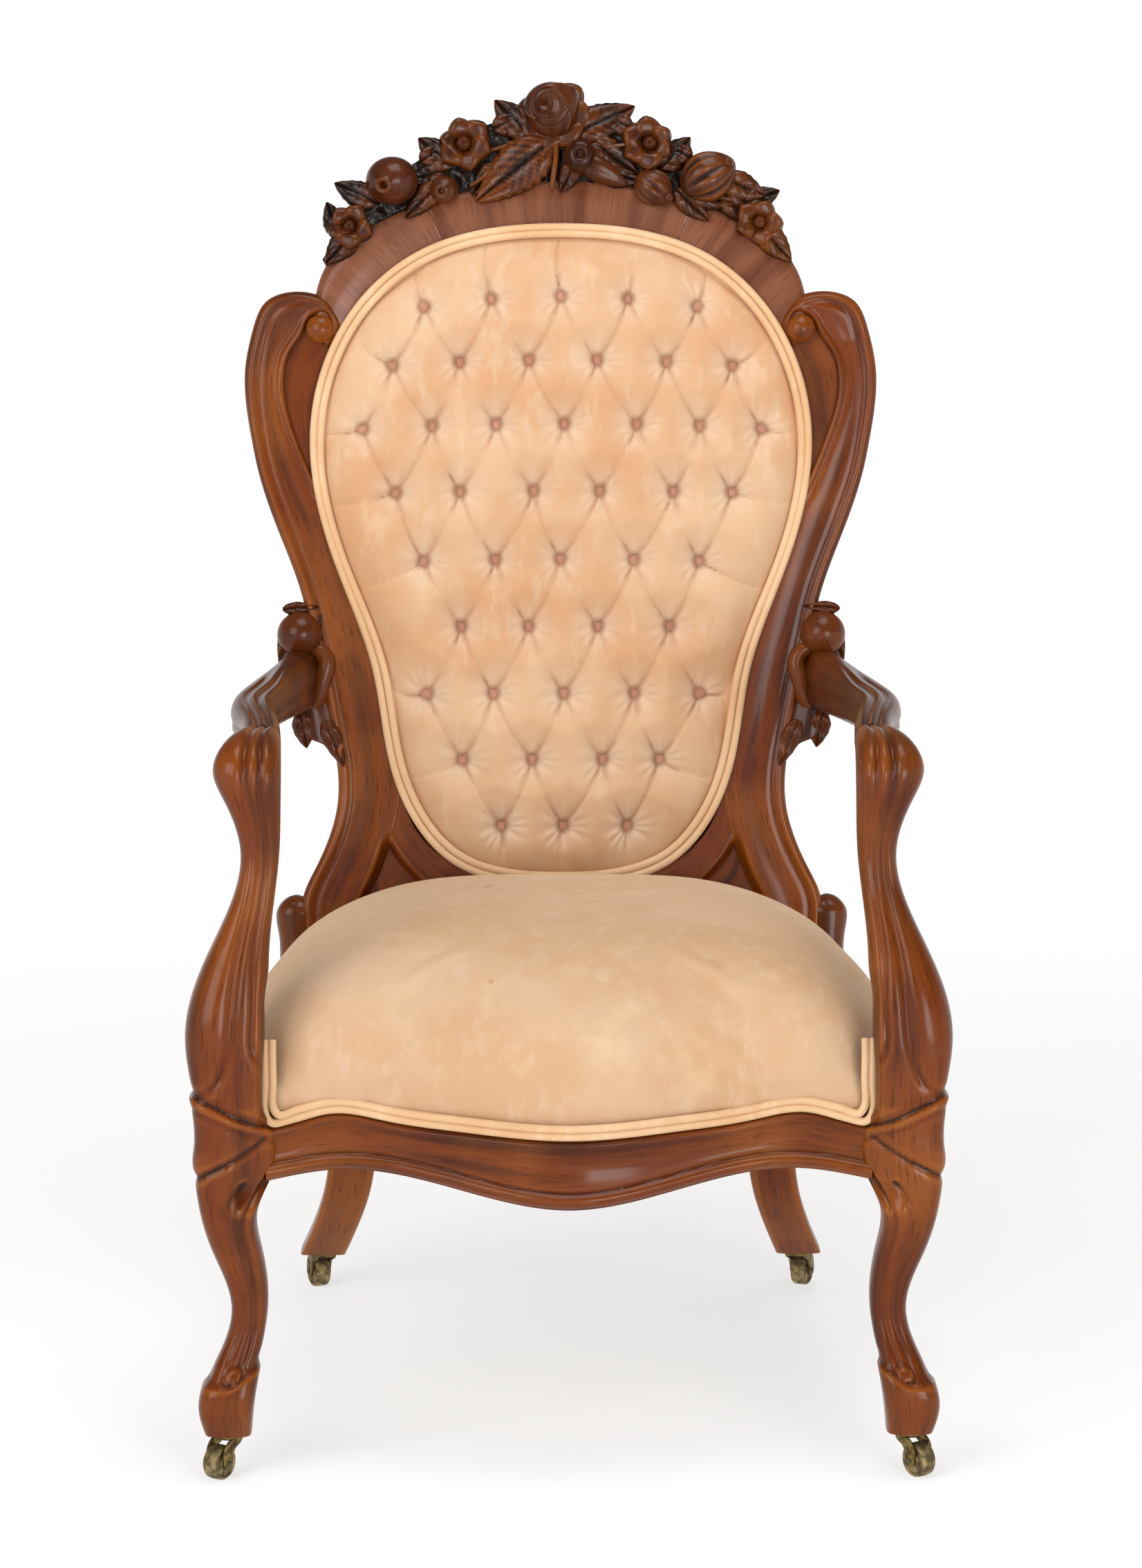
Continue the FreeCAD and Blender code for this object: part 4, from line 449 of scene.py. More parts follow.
legShape = {
    "stations": (
        (38, 33, 39, 38, 34, 36, 0, 4.5), (66, 34, 43, 66, 42, 46, 0, 4.0),
        (104, 23, 34, 104, 34, 36, 0, 3.0), (140, 15, 27, 140, 30, 32, 0, 2.8),
        (193, 25, 32, 193, 41, 42, 0, 3.0), (228, 31, 36, 228, 47, 50, 0, 3.6),
        (262, 26, 27, 262, 64, 66, 0, 5.0), (306, 27, 27, 306, 60, 62, 0, 5.0),
        (369, 30, 27, 369, 67, 60, 0, 3.2), (439, 21, 16, 439, 49, 46, 0, 2.8),
        (520, 4, 0, 520, 32, 34, 0, 2.6), (560, 9, 2, 560, 45, 40, 8, 2.6),
        (592, 14, 0, 588, 56, 44, 32, 2.6), (626, 8, -28, 604, 42, 32, 76, 2.6),
        (649, 4, -50, 604, 32, 30, 90, 2.6),
    ),  # along, outwards of the joint face, before its rear face, height, width, depth, tilt, squareness
    "joint": (250, -262),  # where the rails' joint face and its rear face are
    "postOuter": ((325, 331, 341, 360, 395, 440, 480, 520, 560, 592, 620, 649),
                  (0.80, 0.50, 0.25, 0.02, -0.07, 0.0, 0.15, 0.28, 0.20, 0.05, 0.10, 0.20)),
    "postInner": ((345, 352, 395, 440, 480, 520, 560, 592, 620, 649),
                  (-0.95, -0.80, -0.64, -0.55, -0.45, -0.38, -0.30, -0.42, -0.30, -0.30)),
    "shinOuter": ((84, 95, 115, 142, 167, 205, 239, 252),
                  (0.10, 0.30, 0.30, 0.19, 0.19, 0.05, -0.07, -0.30)),
    "shinInner": ((84, 110, 133, 156, 187, 212, 239, 258),
                  (-0.15, -0.20, -0.26, -0.31, -0.55, -0.54, -0.76, -0.95)),
    # flutes: places along, then shares of the half width
    "rows": 270, "columns": 132,
}


def groove(at, across, half, line, deep, wide):
    # Gouged line that keeps its width where it runs aslant; across is a share of the half width.
    centre = lineThrough(*line, at)
    slope = np.gradient(centre[:, 0], at[:, 0])[:, None] * half
    away = (across - centre) * half / np.sqrt(1 + slope**2)
    return -deep * bell(away, 0, wide) * (at >= line[0][0]) * (at <= line[0][-1])


def legCarving(at, across, toFront, half):
    # How far the carving stands proud: flutes down the post and the shin, the swelling beside them, the flap
    # over the knee with its lip, the crease under it, the foot's block and the small disc on its top.
    front = smoothStep(toFront, 0.1, 0.5)
    wrap = smoothStep(toFront, -0.7, -0.1)
    cut = groove(at, across, half, legShape["postOuter"], 3.4, 4.0) * smoothStep(at, 322, 345)
    cut += groove(at, across, half, legShape["postInner"], 3.0, 3.3) * smoothStep(at, 343, 370)
    cut += groove(at, across, half, legShape["shinOuter"], 2.8, 3.3) * smoothStep(at, 84, 104)
    cut += groove(at, across, half, legShape["shinInner"], 3.0, 3.0) * smoothStep(at, 86, 104)
    cut *= front
    tear = smoothStep(across - lineThrough(*legShape["postOuter"], at), 0.0, 0.5) * bell(at, 392, 54)
    cut += 2.6 * tear * wrap
    below = 309 + 16 * across - at
    lip = smoothStep(below, -1.0, 3.4) * np.exp(-np.clip(below, 0, None) / 34)
    cut += wrap * (4.4 * lip - 0.9 * bell(below, -4.5, 4.5) - 0.8 * bell(below, 10, 3.2))
    crease = at - (275 - 17 * across)
    knee = smoothStep(across, -0.95, -0.5) * wrap
    cut += knee * (1.6 * bell(crease, 12, 10) - 2.4 * bell(crease, -1.5, 3.6))
    top = np.interp(across, (-1, -0.44, 0.06, 1), (95, 87, 81, 81)) - at
    cut += 2.2 * smoothStep(top, -1.6, 1.6) - 1.0 * bell(top, -7, 6) * wrap
    disc = np.hypot(across * half, at - 90)
    cut += front * (1.4 * smoothStep(disc, 7.0, 4.8) - 0.7 * bell(disc, 7.8, 1.5))
    beside = smoothStep(at, 296, 312) * smoothStep(at, 430, 395)
    return cut - 4 * beside * smoothStep(-across, 0.7, 0.97)


def legPoints():
    # Superellipse sections carried along a bent line, moved out along their own normal by the carving; the
    # last of them tip forwards, so that the knuckle turns over into the arm.
    table = np.array(legShape["stations"], float)
    at = np.linspace(table[0, 0], table[-1, 0], legShape["rows"])
    out, ahead, z, width, depth, tilt, square = cubicThrough(table[:, 0], table[:, 1:], at).T
    turned = np.linspace(0, 1, legShape["columns"], endpoint=False)
    angle = (2 * np.pi * turned + 0.4 * np.sin(2 * np.pi * turned))[None]
    across, deep = roundedLoop(angle, square[:, None])
    half = width[:, None] / 2
    normalA = np.sign(across) * np.abs(across) ** (square[:, None] - 1) / half
    normalD = np.sign(deep) * np.abs(deep) ** (square[:, None] - 1) / (depth[:, None] / 2)
    length = np.hypot(normalA, normalD)
    cut = legCarving(at[:, None], across, -deep, half)
    sideways = across * half + cut * normalA / length
    inwards = deep * depth[:, None] / 2 + cut * normalD / length
    level = smoothStep(at, 226, 250) * smoothStep(at, 316, 290)
    inwards += 21 * level[:, None] * smoothStep(-across, -0.25, 0.9) * smoothStep(-deep, 0.0, 0.8)
    tipped = np.radians(tilt)[:, None]
    jointX, jointY = legShape["joint"]
    x = jointX + out[:, None] + sideways
    y = jointY - ahead[:, None] + inwards * np.cos(tipped)
    return np.stack([x, y, z[:, None] - inwards * np.sin(tipped)], -1)


legSkin = legPoints()
for side, sign in sides:
    makePiece(f"frontLeg_{side}", [surface(mirrored(legSkin, sign))], walnut,
              replaces=[f"front_leg_{side}"], sharp=50)

# arms

armShape = {
    "stations": (
        (0, 254, -212, 604, 32, 30, 0), (46, 258, -168, 608, 33, 33, 0), (88, 265, -124, 608, 37, 38, 0),
        (150, 264, -60, 606, 36, 41, 0), (220, 258, 8, 602, 33, 44, 2), (330, 246, 116, 596, 31, 50, 7),
        (425, 237, 207.3, 589.5, 31, 57, 10.5),
    ),  # along, x, y, z, width, height, tilt
    "rows": 150, "columns": 110,
}


def armPoints():
    # Rounded sections along the arm, with two flutes on top that sway and die out towards the back.
    table = np.array(armShape["stations"], float)
    at = np.linspace(0, table[-1, 0], armShape["rows"])
    x, y, z, width, height, tilt = cubicThrough(table[:, 0], table[:, 1:], at).T
    turned = np.linspace(0, 1, armShape["columns"], endpoint=False)
    angle = (2 * np.pi * turned + 0.4 * np.sin(2 * np.pi * turned))[None]
    across, deep = roundedLoop(angle, 2.7)
    half = width[:, None] / 2
    upward = smoothStep(-deep, 0.1, 0.5)
    ribs = smoothStep(at[:, None], 330, 190)
    sway = 0.14 * np.sin(at[:, None] / 40)
    cut = -3.2 * bell((across - 0.24 - sway) * half, 0, 3.6)
    cut = cut - 3.0 * bell((across + 0.36 - sway) * half, 0, 3.2)
    cut = cut * upward * ribs - 1.2 * bell(deep, 0.2, 0.2) * smoothStep(np.abs(across), 0.6, 0.9)
    tipped = np.radians(tilt)[:, None]
    sideways = across * (half + cut * np.abs(across))
    inwards = deep * (height[:, None] / 2 + cut * np.abs(deep))
    yAll = y[:, None] - inwards * np.sin(tipped)
    return np.stack([x[:, None] + sideways, yAll, z[:, None] - inwards * np.cos(tipped)], -1)


armSkin = armPoints()
for side, sign in sides:
    makePiece(f"arm_{side}", [surface(mirrored(armSkin, sign))], walnutDeep,
              replaces=[f"arm_{side}"], sharp=50)
print("legs and arms ready")

# rear posts: stile with its scrolled ear over the raked rear leg


def band(pairs, height, back, rows, columns=44, edge=3.5, innerEdge=None, stretch=None):
    # Board on the leaning plane between two boundary curves, its front modelled by a height formula; a
    # stretch of it, between two rows, gets a fine vee at its ends for the joint.
    both = curveThrough(pairs, rows)
    if stretch is not None:
        first, last = stretch
        near = np.array([0, 0.12, 0.3])
        reads = np.concatenate([first + near, np.arange(first + 1, last), last - near[::-1]])
        both = np.stack([np.interp(reads, np.arange(rows), both[:, k]) for k in range(4)], 1)
    inner = both[:, None, :2]
    outer = both[:, None, 2:]
    share = ((1 - np.cos(np.linspace(0, np.pi, columns))) / 2)[None, :, None]
    spot = inner * (1 - share) + outer * share
    width = np.linalg.norm(outer - inner, axis=2)
    fromInner = width * share[..., 0]
    fromOuter = width - fromInner
    inside = edge if innerEdge is None else innerEdge

    def dropped(away, radius):
        # Quarter-round edge: how far it has dropped at a distance from the edge.
        left = np.clip(radius - away, 0, radius)
        return radius - np.sqrt(np.maximum(radius**2 - left**2, 0))

    h = height(fromInner, fromOuter, spot[..., 0], spot[..., 1], width)
    h = h - dropped(fromOuter, edge)
    if inside > 0:
        h = h - dropped(fromInner, inside)
    if stretch is not None:
        h[[0, -1]] -= 0.9
        h[[1, -2]] -= 0.25
    rear = spot[:, ::-4]
    loop = [onBack(spot[..., 0], spot[..., 1], h), onBack(rear[..., 0], rear[..., 1], -back)]
    return np.concatenate(loop, 1)


stileShape = {
    "pairs": (
        (183, -130, 222, -130), (185, -80, 233, -80), (179, -42, 236, -36), (166, -15, 224, -8),
        (156, 14, 211, 22), (148, 45, 204, 52), (146, 75, 204, 80), (156, 120, 211, 122),
        (165, 171, 220, 168), (177, 208, 228, 206), (190, 246, 238, 246), (204, 294, 255, 292),
        (216, 326, 267, 324), (224, 343, 275, 350), (234, 366, 281, 378), (246, 399, 286, 408),
        (252, 428, 288, 434), (249, 455, 286, 458), (241, 469, 280, 484), (235, 478, 269, 507),
        (231, 487, 249, 516), (226, 493, 230, 516), (219, 496, 213, 509), (213, 494, 204, 496),
        (211, 487, 200, 487), (213, 479, 204, 474), (217, 474, 212, 465),
    ),  # inner x, s and outer x, s from the seat up to the end of the curl
    "panel": (
        (198, 280, 226, 280), (213, 330, 240, 330), (219, 372, 262, 372), (221, 398, 265, 398),
        (218, 423, 265, 423), (209, 449, 262, 449), (196, 473, 250, 473), (184, 496, 236, 496),
    ),  # sunk wood between the ear's bead and the welt
    "knob": (219, 482, 13),
    "leg": ((0, 201, 169, 302, 44, 30), (66, 197, 174, 236, 42, 36), (165, 194, 196, 140, 43, 38),
            (235, 207, 232, 82, 42, 38), (295, 223, 271, 38, 42, 40)),  # along, x, y, z, width, depth
}


def stileHeight(fromInner, fromOuter, x, s, width):
    # Bead and hollow along the outer edge, another pair along the ear's inner edge, a rolled curl at the top
    # and a shallow hollow down the middle.
    room = np.clip(width / 36, 0, 1)
    h = 4 + room * (1.6 * bell(fromOuter, 6, 4) - 1.0 * bell(fromOuter, 12.5, 3.4))
    ear = smoothStep(s, 318, 345) * room
    h = h + ear * (1.6 * bell(fromInner, 3.6, 2.8) - 1.0 * bell(fromInner, 9, 3.4))
    h = h - 12 * (1 - smoothStep(fromInner, 0, 10)) * smoothStep(s, 26, 2)
    rolled = smoothStep(s, 470, 505) * 5.0 * (1 - (2 * fromOuter / np.maximum(width, 1) - 1) ** 2)
    return h + rolled - 0.8 * bell(fromInner - fromOuter, 0, 18) * room


def dome(x, s, h, radius, high, rows=24, columns=36):
    # Ball flattened to the given height, standing on the leaning plane.
    up = np.linspace(-0.35, np.pi / 2 - 0.02, rows)[:, None]
    angle = np.linspace(0, 2 * np.pi, columns, endpoint=False)[None]
    size = radius * np.cos(up)
    return onBack(x + size * np.cos(angle), s + size * np.sin(angle), h + high * np.sin(up) + 0 * angle)


def rearLegPoints():
    # Square section with eased corners, carried down and back along the rake.
    table = np.array(stileShape["leg"], float)
    at = np.linspace(0, table[-1, 0], 90)
    x, y, z, width, depth = cubicThrough(table[:, 0], table[:, 1:], at).T
    angle = np.linspace(0, 2 * np.pi, 72, endpoint=False)[None]
    across, deep = roundedLoop(angle, 9.0)
    xAll = x[:, None] + across * width[:, None] / 2
    return np.stack([xAll, y[:, None] + deep * depth[:, None] / 2, z[:, None] + 0 * across], -1)


def flatHeight(level):
    # A plain floor at one level.
    return lambda fromInner, fromOuter, x, s, width: level + 0 * x


for side, sign in sides:
    knobX, knobS, knobR = stileShape["knob"]
    parts = [
        band(stileShape["pairs"], stileHeight, 30, 360, edge=5.0, innerEdge=2.5),
        band(stileShape["panel"], flatHeight(-1.0), 29, 60, columns=16),
        dome(knobX, knobS, 4.0, knobR, 11.5),
        rearLegPoints(),
    ]
    makePiece(f"rearPost_{side}", [surface(mirrored(part, sign)) for part in parts], walnut,
              replaces=[f"rear_post_{side}"])

# crest rail and its shoulders: flat veneered band inside, rounded moulding outside

archShape = {
    "half": ((196, 472, 226, 496), (187, 492, 221, 524), (169, 519, 205, 553), (140, 541, 172, 579),
             (105, 557, 126, 599), (55, 568, 64, 616)),  # inner x, s and outer x, s
    "top": (0, 571, 0, 622), "joint": 124, "rows": 240, "edge": 10.0,
}


def wholeSpan(half, top):
    # The half, the top and the mirrored half, as one run from right to left.
    return half + (top,) + tuple((-a, b, -c, d) for a, b, c, d in reversed(half))


def archHeight(fromInner, fromOuter, x, s, width):
    # Flat veneer that swells a little towards the outer moulding.
    return 1.0 + 4.5 * bell(fromInner, 30, 20)


archPairs = wholeSpan(archShape["half"], archShape["top"])
archOuter = curveThrough(archPairs, archShape["rows"])[:, 2]
toLeft = np.flatnonzero(archOuter > archShape["joint"])[-1]
toRight = np.flatnonzero(archOuter < -archShape["joint"])[0]
for name, node, rows in (("crestShoulder_right", "crest_shoulder_right", (0, toLeft)),
                         ("crestRail", "crest_rail", (toLeft, toRight)),
                         ("crestShoulder_left", "crest_shoulder_left", (toRight, archShape["rows"] - 1))):
    skin = band(archPairs, archHeight, 30, archShape["rows"], edge=archShape["edge"], innerEdge=1.5,
                stretch=rows)
    makePiece(name, [surface(skin)], walnutVeneer, replaces=[node], swapGrain=True)

# lower back rail: band round the foot of the oval, and the sunk spandrels

lowerShape = {
    "half": ((145, 64, 150, 44), (140, 42, 157, 12), (128, 20, 143, -12), (110, 3, 126, -29),
             (88, -9, 98, -46), (52, -16, 56, -58)),
    "top": (0, -18, 0, -62),
    "floorHalf": ((150, 30, 188, -10), (140, 0, 190, -60), (100, -20, 170, -90)),
    "floorTop": (0, -30, 0, -96), "sunk": -9.0,
}


def lowerHeight(fromInner, fromOuter, x, s, width):
    # Flat band, rolled down at its lower edge into the spandrels.
    return 3.0 - 12 * (1 - smoothStep(fromOuter, 0, 9)) * smoothStep(s, 22, 4)


lowerPairs = wholeSpan(lowerShape["half"], lowerShape["top"])
floorPairs = wholeSpan(lowerShape["floorHalf"], lowerShape["floorTop"])
lowerBand = band(lowerPairs, lowerHeight, 28, 150, edge=0.5, innerEdge=1.5)
spandrels = band(floorPairs, flatHeight(lowerShape["sunk"]), 29, 80, columns=20, edge=0.5)
makePiece("lowerBackRail", [surface(lowerBand), surface(spandrels)], walnut,
          replaces=["lower_back_rail"])
print("back frame ready")

# seat rails

railShape = {
    "face": ((-250, 36), (-190, 25), (-87.4, 44.9), (0, 66), (87.4, 44.9), (190, 25), (250, 36)),
    "under": ((-250, 250), (-190, 257), (-87.4, 243.3), (0, 232), (87.4, 243.3), (190, 257), (250, 250)),
    "top": ((-250, 293), (-234, 295), (-198, 303), (-150, 297), (-95, 292), (0, 289), (95, 292), (150, 297),
            (198, 303), (234, 295), (250, 293)),  # face before the joint, lower edge and upper edge across
    "joint": -262, "half": 250, "rows": 220, "columns": 64,
}
sideShape = {
    "outer": ((-262, -36, 190), (290, 277, 250)),  # places along y, then x of the outer face there
    "inner": (262, 222), "span": 452, "end": 186, "middle": 271.5, "half": 21.5,
    "grooves": ((2.0, 279, 3.0), (1.4, 258, 2.0)),  # depth, height and half width
}


def railLine(key, x):
    # One of the front rail's lines across the chair.
    return lineThrough(*zip(*railShape[key]), x)


def frontRailPoints():
    # Sections from end to end: a lip under the welt, a broad hollow and a bead along the lower edge.
    x = np.linspace(-railShape["half"], railShape["half"], railShape["rows"])[:, None]
    share = ((1 - np.cos(np.linspace(0, np.pi, railShape["columns"]))) / 2)[None]
    under = railLine("under", x)
    top = railLine("top", x)
    z = top + (under - top) * share
    fromTop = top - z
    fromUnder = z - under
    proud = 1.6 * bell(fromTop, 3.0, 3.0) - 3.0 * bell(fromTop, 19, 13)
    proud += 1.2 * smoothStep(fromUnder, 20, 12) + 2.4 * bell(fromUnder, 7.5, 4.5)
    proud -= 2.4 * bell(fromUnder, 14, 2.2) + 1.8 * bell(fromUnder, 1.2, 1.6)
    proud -= 3.0 * np.exp(-fromTop / 1.2) + 2.0 * np.exp(-fromUnder / 1.0)
    y = railShape["joint"] - railLine("face", x) - proud
    rear = np.concatenate([under, top], 1)
    face = np.stack([x + 0 * z, y, z], -1)
    return np.concatenate([face, np.stack([x + 0 * rear, railShape["joint"] + 0 * rear, rear], -1)], 1)


def sideRailPoints():
    # Rounded board from the leg to the rear post, bowed in plan, with two grooves along its outer face.
    start = railShape["joint"]
    y = np.linspace(start, sideShape["end"], 90)[:, None]
    outer = cubicThrough(*sideShape["outer"], y[:, 0])
    front, rear = sideShape["inner"]
    inner = front + (y - start) / sideShape["span"] * (rear - front)
    angle = np.linspace(0, 2 * np.pi, 56, endpoint=False)[None]
    across, deep = roundedLoop(angle, 8.0)
    x = (outer + inner) / 2 + across * (outer - inner) / 2
    z = sideShape["middle"] + deep * sideShape["half"] + 0 * x
    facing = smoothStep(across, 0.5, 0.9)
    x = x - facing * sum(cut * bell(z, level, half) for cut, level, half in sideShape["grooves"])
    return np.stack([x, y + 0 * across, z], -1)


makePiece("frontSeatRail", [surface(frontRailPoints())], walnut, replaces=["front_seat_rail"])
for side, sign in sides:
    makePiece(f"sideRail_{side}", [surface(mirrored(sideRailPoints(), sign))], walnut,
              replaces=[f"side_rail_{side}"])
print("seat rails ready")

# arm scrolls: ball and leaf where the arm meets the stile; hip scrolls: the lobe at the stile's foot


def laidOnBack(x, s, heading, along, across, h):
    # Places along and across a heading, counted from a point of the leaning plane.
    way = math.radians(heading)
    px = x + along * math.cos(way) - across * math.sin(way)
    ps = s + along * math.sin(way) + across * math.cos(way)
    return onBack(px, ps, h)


def leafPoints(x, s, length, width, heading, lift, high, veins, curl):
    # Carved leaf on the leaning plane: pointed outline, a sunk midrib, fine veins and a lifted edge.
    along = np.linspace(0.012, 0.995, 64)[:, None]
    angle = np.linspace(0, 2 * np.pi, 48, endpoint=False)[None]
    across = np.sin(angle)
    outline = np.sin(np.pi * along**0.78) ** 0.72 * (1 - 0.18 * along)
    tooth = 1 + 0.025 * np.sin(along * veins * 2 * np.pi) * smoothStep(np.abs(across), 0.6, 0.95)
    half = 0.5 * width * outline * tooth
    slant = (along - 0.3 * np.abs(across)) * veins
    vein = np.exp(-((np.sin(np.pi * slant) / 0.34) ** 2)) * outline
    swell = (1 - np.abs(across) ** 3) ** 0.5
    relief = high * swell * (0.45 + 0.3 * np.abs(across) + 0.25 * outline)
    relief = relief - 0.06 * high * vein * swell - 0.14 * high * bell(across * half, 0, 1.2)
    h = lift + np.where(np.cos(angle) >= 0, relief, -3.0) + 2.0 * np.sin(2.4 * along * np.pi)
    return laidOnBack(x, s, heading, along * length, across * half + curl * length * along**2, h)


def ballPoints(centre, radii, rows=40, columns=56):
    # Closed ball in the axes of the leaning plane: x, up the plane and before it.
    up = np.linspace(-np.pi / 2 + 0.03, np.pi / 2 - 0.03, rows)[:, None]
    angle = np.linspace(0, 2 * np.pi, columns, endpoint=False)[None]
    x = centre[0] + radii[0] * np.cos(up) * np.cos(angle)
    s = centre[1] + radii[1] * np.cos(up) * np.sin(angle)
    return onBack(x, s, centre[2] + radii[2] * np.sin(up) + 0 * angle)


scrollShape = {
    "ball": (238, 204, 5), "radius": 20.5,
    "lip": ((236, 192, 3), (222, 190, 3), (214, 180, 2), (217, 164, 2), (221, 146, 1), (233, 128, 0)),
    "pairs": ((218, 222, 246, 226), (217, 204, 257, 207), (214, 184, 258, 182), (211, 164, 255, 158),
              (208, 146, 248, 138), (206, 130, 239, 121), (204, 117, 229, 109), (202, 107, 217, 104),
              (200, 97, 206, 92), (197, 88, 199, 86)),  # leaf behind the arm's end, from stile to free edge
    "fan": (236, 214),  # where its ribs spread from
    "leaves": ((254, 227, 34, 13, 176, 2, 7, 3, 0.0), (238, 134, 34, 22, -104, 2, 7, 4, 0.06),
               (216, 126, 46, 20, -116, 3, 6, 5, 0.05)),
}
hipShape = {"x": 242, "sunk": -13, "from": -139, "to": -32.6, "round": 17.5, "half": 15, "deep": 20}


def scrollLip():
    # C-shaped roll of the leaf's lip round the arm's end, thin at both ends.
    path = curveThrough(scrollShape["lip"], 60)
    wide = 8.5 * np.sin(np.pi * np.linspace(0.08, 0.97, 60)) ** 0.6 + 0.6
    return tube(onBack(path[:, 0], path[:, 1], path[:, 2]), wide, 16, up=(0.0, -1.0, 0.0))


def scrollHeight(fromInner, fromOuter, x, s, width):
    # Ribs that fan out from under the ball, as a wave of the angle.
    fanX, fanS = scrollShape["fan"]
    fan = np.arctan2(s - fanS, x - fanX)
    return 4.5 + 2.0 * np.cos(fan * 15) * smoothStep(np.hypot(x - fanX, s - fanS), 15, 45)


def hipPoints():
    # Upright lobe with a round top, swelling forwards.
    s = np.linspace(hipShape["from"], hipShape["to"], 70)[:, None]
    angle = np.linspace(0, 2 * np.pi, 48, endpoint=False)[None]
    over = np.clip(s + 50, 0, hipShape["round"]) / hipShape["round"]
    top = np.sqrt(np.clip(1 - over**2, 0.0009, 1))
    across, deep = roundedLoop(angle, 2.6)
    wide = hipShape["half"] + 3.5 * bell(s, -52, 16)
    x = hipShape["x"] + wide * across * top
    return onBack(x, s + 0 * across, hipShape["sunk"] + hipShape["deep"] * deep * top)


for side, sign in sides:
    upper, *hanging = [leafPoints(*leaf) for leaf in scrollShape["leaves"]]
    leafBehind = band(scrollShape["pairs"], scrollHeight, 26, 90, columns=40, edge=2.5, innerEdge=0)
    ball = ballPoints(scrollShape["ball"], [scrollShape["radius"]] * 3)
    parts = [ball, upper, scrollLip(), leafBehind, *hanging]
    makePiece(f"armScroll_{side}", [surface(mirrored(part, sign)) for part in parts], walnutDeep,
              replaces=[f"arm_scroll_{side}"])
for side, sign in sides:
    makePiece(f"hipScroll_{side}", [surface(mirrored(hipPoints(), sign))], walnutDeep,
              replaces=[f"hip_scroll_{side}"])
print("scrolls ready")

# crest carving: ground, rose, flowers, fruit and leaves

groundShape = {
    "edge": ((-217, 546), (-206, 566), (-190, 588), (-168, 614), (-140, 630), (-112, 648), (-80, 664),
             (-50, 676), (-20, 690), (8, 690), (45, 680), (76, 667), (105, 650), (135, 632), (162, 612),
             (186, 590), (200, 568), (211, 546)),
    "foot": ((-214, 541), (-200, 556), (-178, 572), (-152, 586), (-126, 595), (-98, 602), (-70, 607),
             (-40, 610), (-14, 611), (14, 611), (42, 610), (70, 607), (98, 602), (126, 595), (152, 586),
             (178, 572), (200, 556), (211, 541)),
}


def groundHeight(fromInner, fromOuter, x, s, width):
    # Gouged ground: two random fields, coarse and fine, rolled off at the outer edge.
    rough = noiseField(x, s, 3, 16) * 2.2 + noiseField(x, s, 5, 7) * 0.8
    return 2.0 + rough - 3.0 * smoothStep(fromOuter, 8, 0)


groundPairs = np.concatenate([np.array(groundShape["foot"]), np.array(groundShape["edge"])], 1)
groundSkin = band(groundPairs, groundHeight, 26, 260, columns=40, edge=2.5)
makePiece("crestGround", [surface(groundSkin)], walnutCrest, replaces=["crest_cartouche"])


def rosePoints(x, s, radius, lift):
    # Bud whose petals wind in to its heart: a ball stepped along a spiral there, and along three curved
    # edges further out, where the outer petals wrap round it.
    up = np.linspace(-0.5, np.pi / 2 - 0.01, 150)[:, None]
    angle = np.linspace(0, 2 * np.pi, 130, endpoint=False)[None]
    away = np.cos(up)
    turn = angle / (2 * np.pi)
    heart = np.mod(4.6 * away + turn, 1.0) ** 1.5 * smoothStep(away, 0.74, 0.62)
    sheath = np.mod(3 * turn + 1.2 * away + 0.3, 1.0) ** 2.5 * smoothStep(away, 0.58, 0.72) * (up > 0)
    size = radius * (away + 0.05 * sheath)
    h = lift + 0.84 * radius * np.sin(up) + 3.0 * heart + 3.6 * sheath - 1.0 * bell(away, 0.0, 0.1)
    cx = x - 6 * np.sin(up) ** 4
    cs = s + 4 * np.sin(up) ** 4
    return onBack(cx + size * np.cos(angle), cs + size * np.sin(angle), h)


def petalPoints(x, s, start, heading, radius, lift, high, stretch, tip):
    # Rounded petal that starts some way from the flower's middle: a smooth pillow, thinner towards the heart,
    # tipped so that each overlaps the next.
    along = np.linspace(0.02, 0.985, 34)[:, None]
    angle = np.linspace(0, 2 * np.pi, 40, endpoint=False)[None]
    across = np.sin(angle)
    half = radius * np.sin(np.pi * along**0.7) ** 0.55
    out = np.clip(np.hypot(across, (along - 0.56) / 0.46), 0, 1)
    h = high * np.sqrt(1 - out**3.2) * smoothStep(along, -0.2, 0.45) + tip * across + 0.2 * high * along
    h = h - 0.07 * high * bell(np.sin(9 * across), 0, 0.5) * smoothStep(along, 0.8, 0.2)
    h = lift + np.where(np.cos(angle) >= 0, h, -4.0)
    return laidOnBack(x, s, heading, start + along * 2 * radius * stretch, across * half, h)


def fruitPoints(x, s, radius, lift, eye, hole, stretch=1.0):
    # Ball fruit with a ringed eye sunk where it faces: eye is its place across and up, in radii.
    up = np.linspace(-0.6, np.pi / 2 - 0.01, 70)[:, None]
    angle = np.linspace(0, 2 * np.pi, 70, endpoint=False)[None]
    axis = np.array([eye[0], eye[1], math.sqrt(1 - eye[0] ** 2 - eye[1] ** 2)])
    side = np.cross(axis, (0.0, 1.0, 0.0))
    side /= np.linalg.norm(side)
    over = np.cross(side, axis)
    away = np.cos(up)
    size = 1 + 0.07 * bell(away, 1.4 * hole, 0.4 * hole) - 0.3 * smoothStep(away, hole, 0.4 * hole) * (up > 0)
    one = size * away * np.cos(angle)
    two = size * away * np.sin(angle)
    three = size * np.sin(up) + 0 * angle
    place = radius * (one[..., None] * side + two[..., None] * over + three[..., None] * axis)
    return onBack(x + place[..., 0], s + stretch * place[..., 1], lift + place[..., 2])


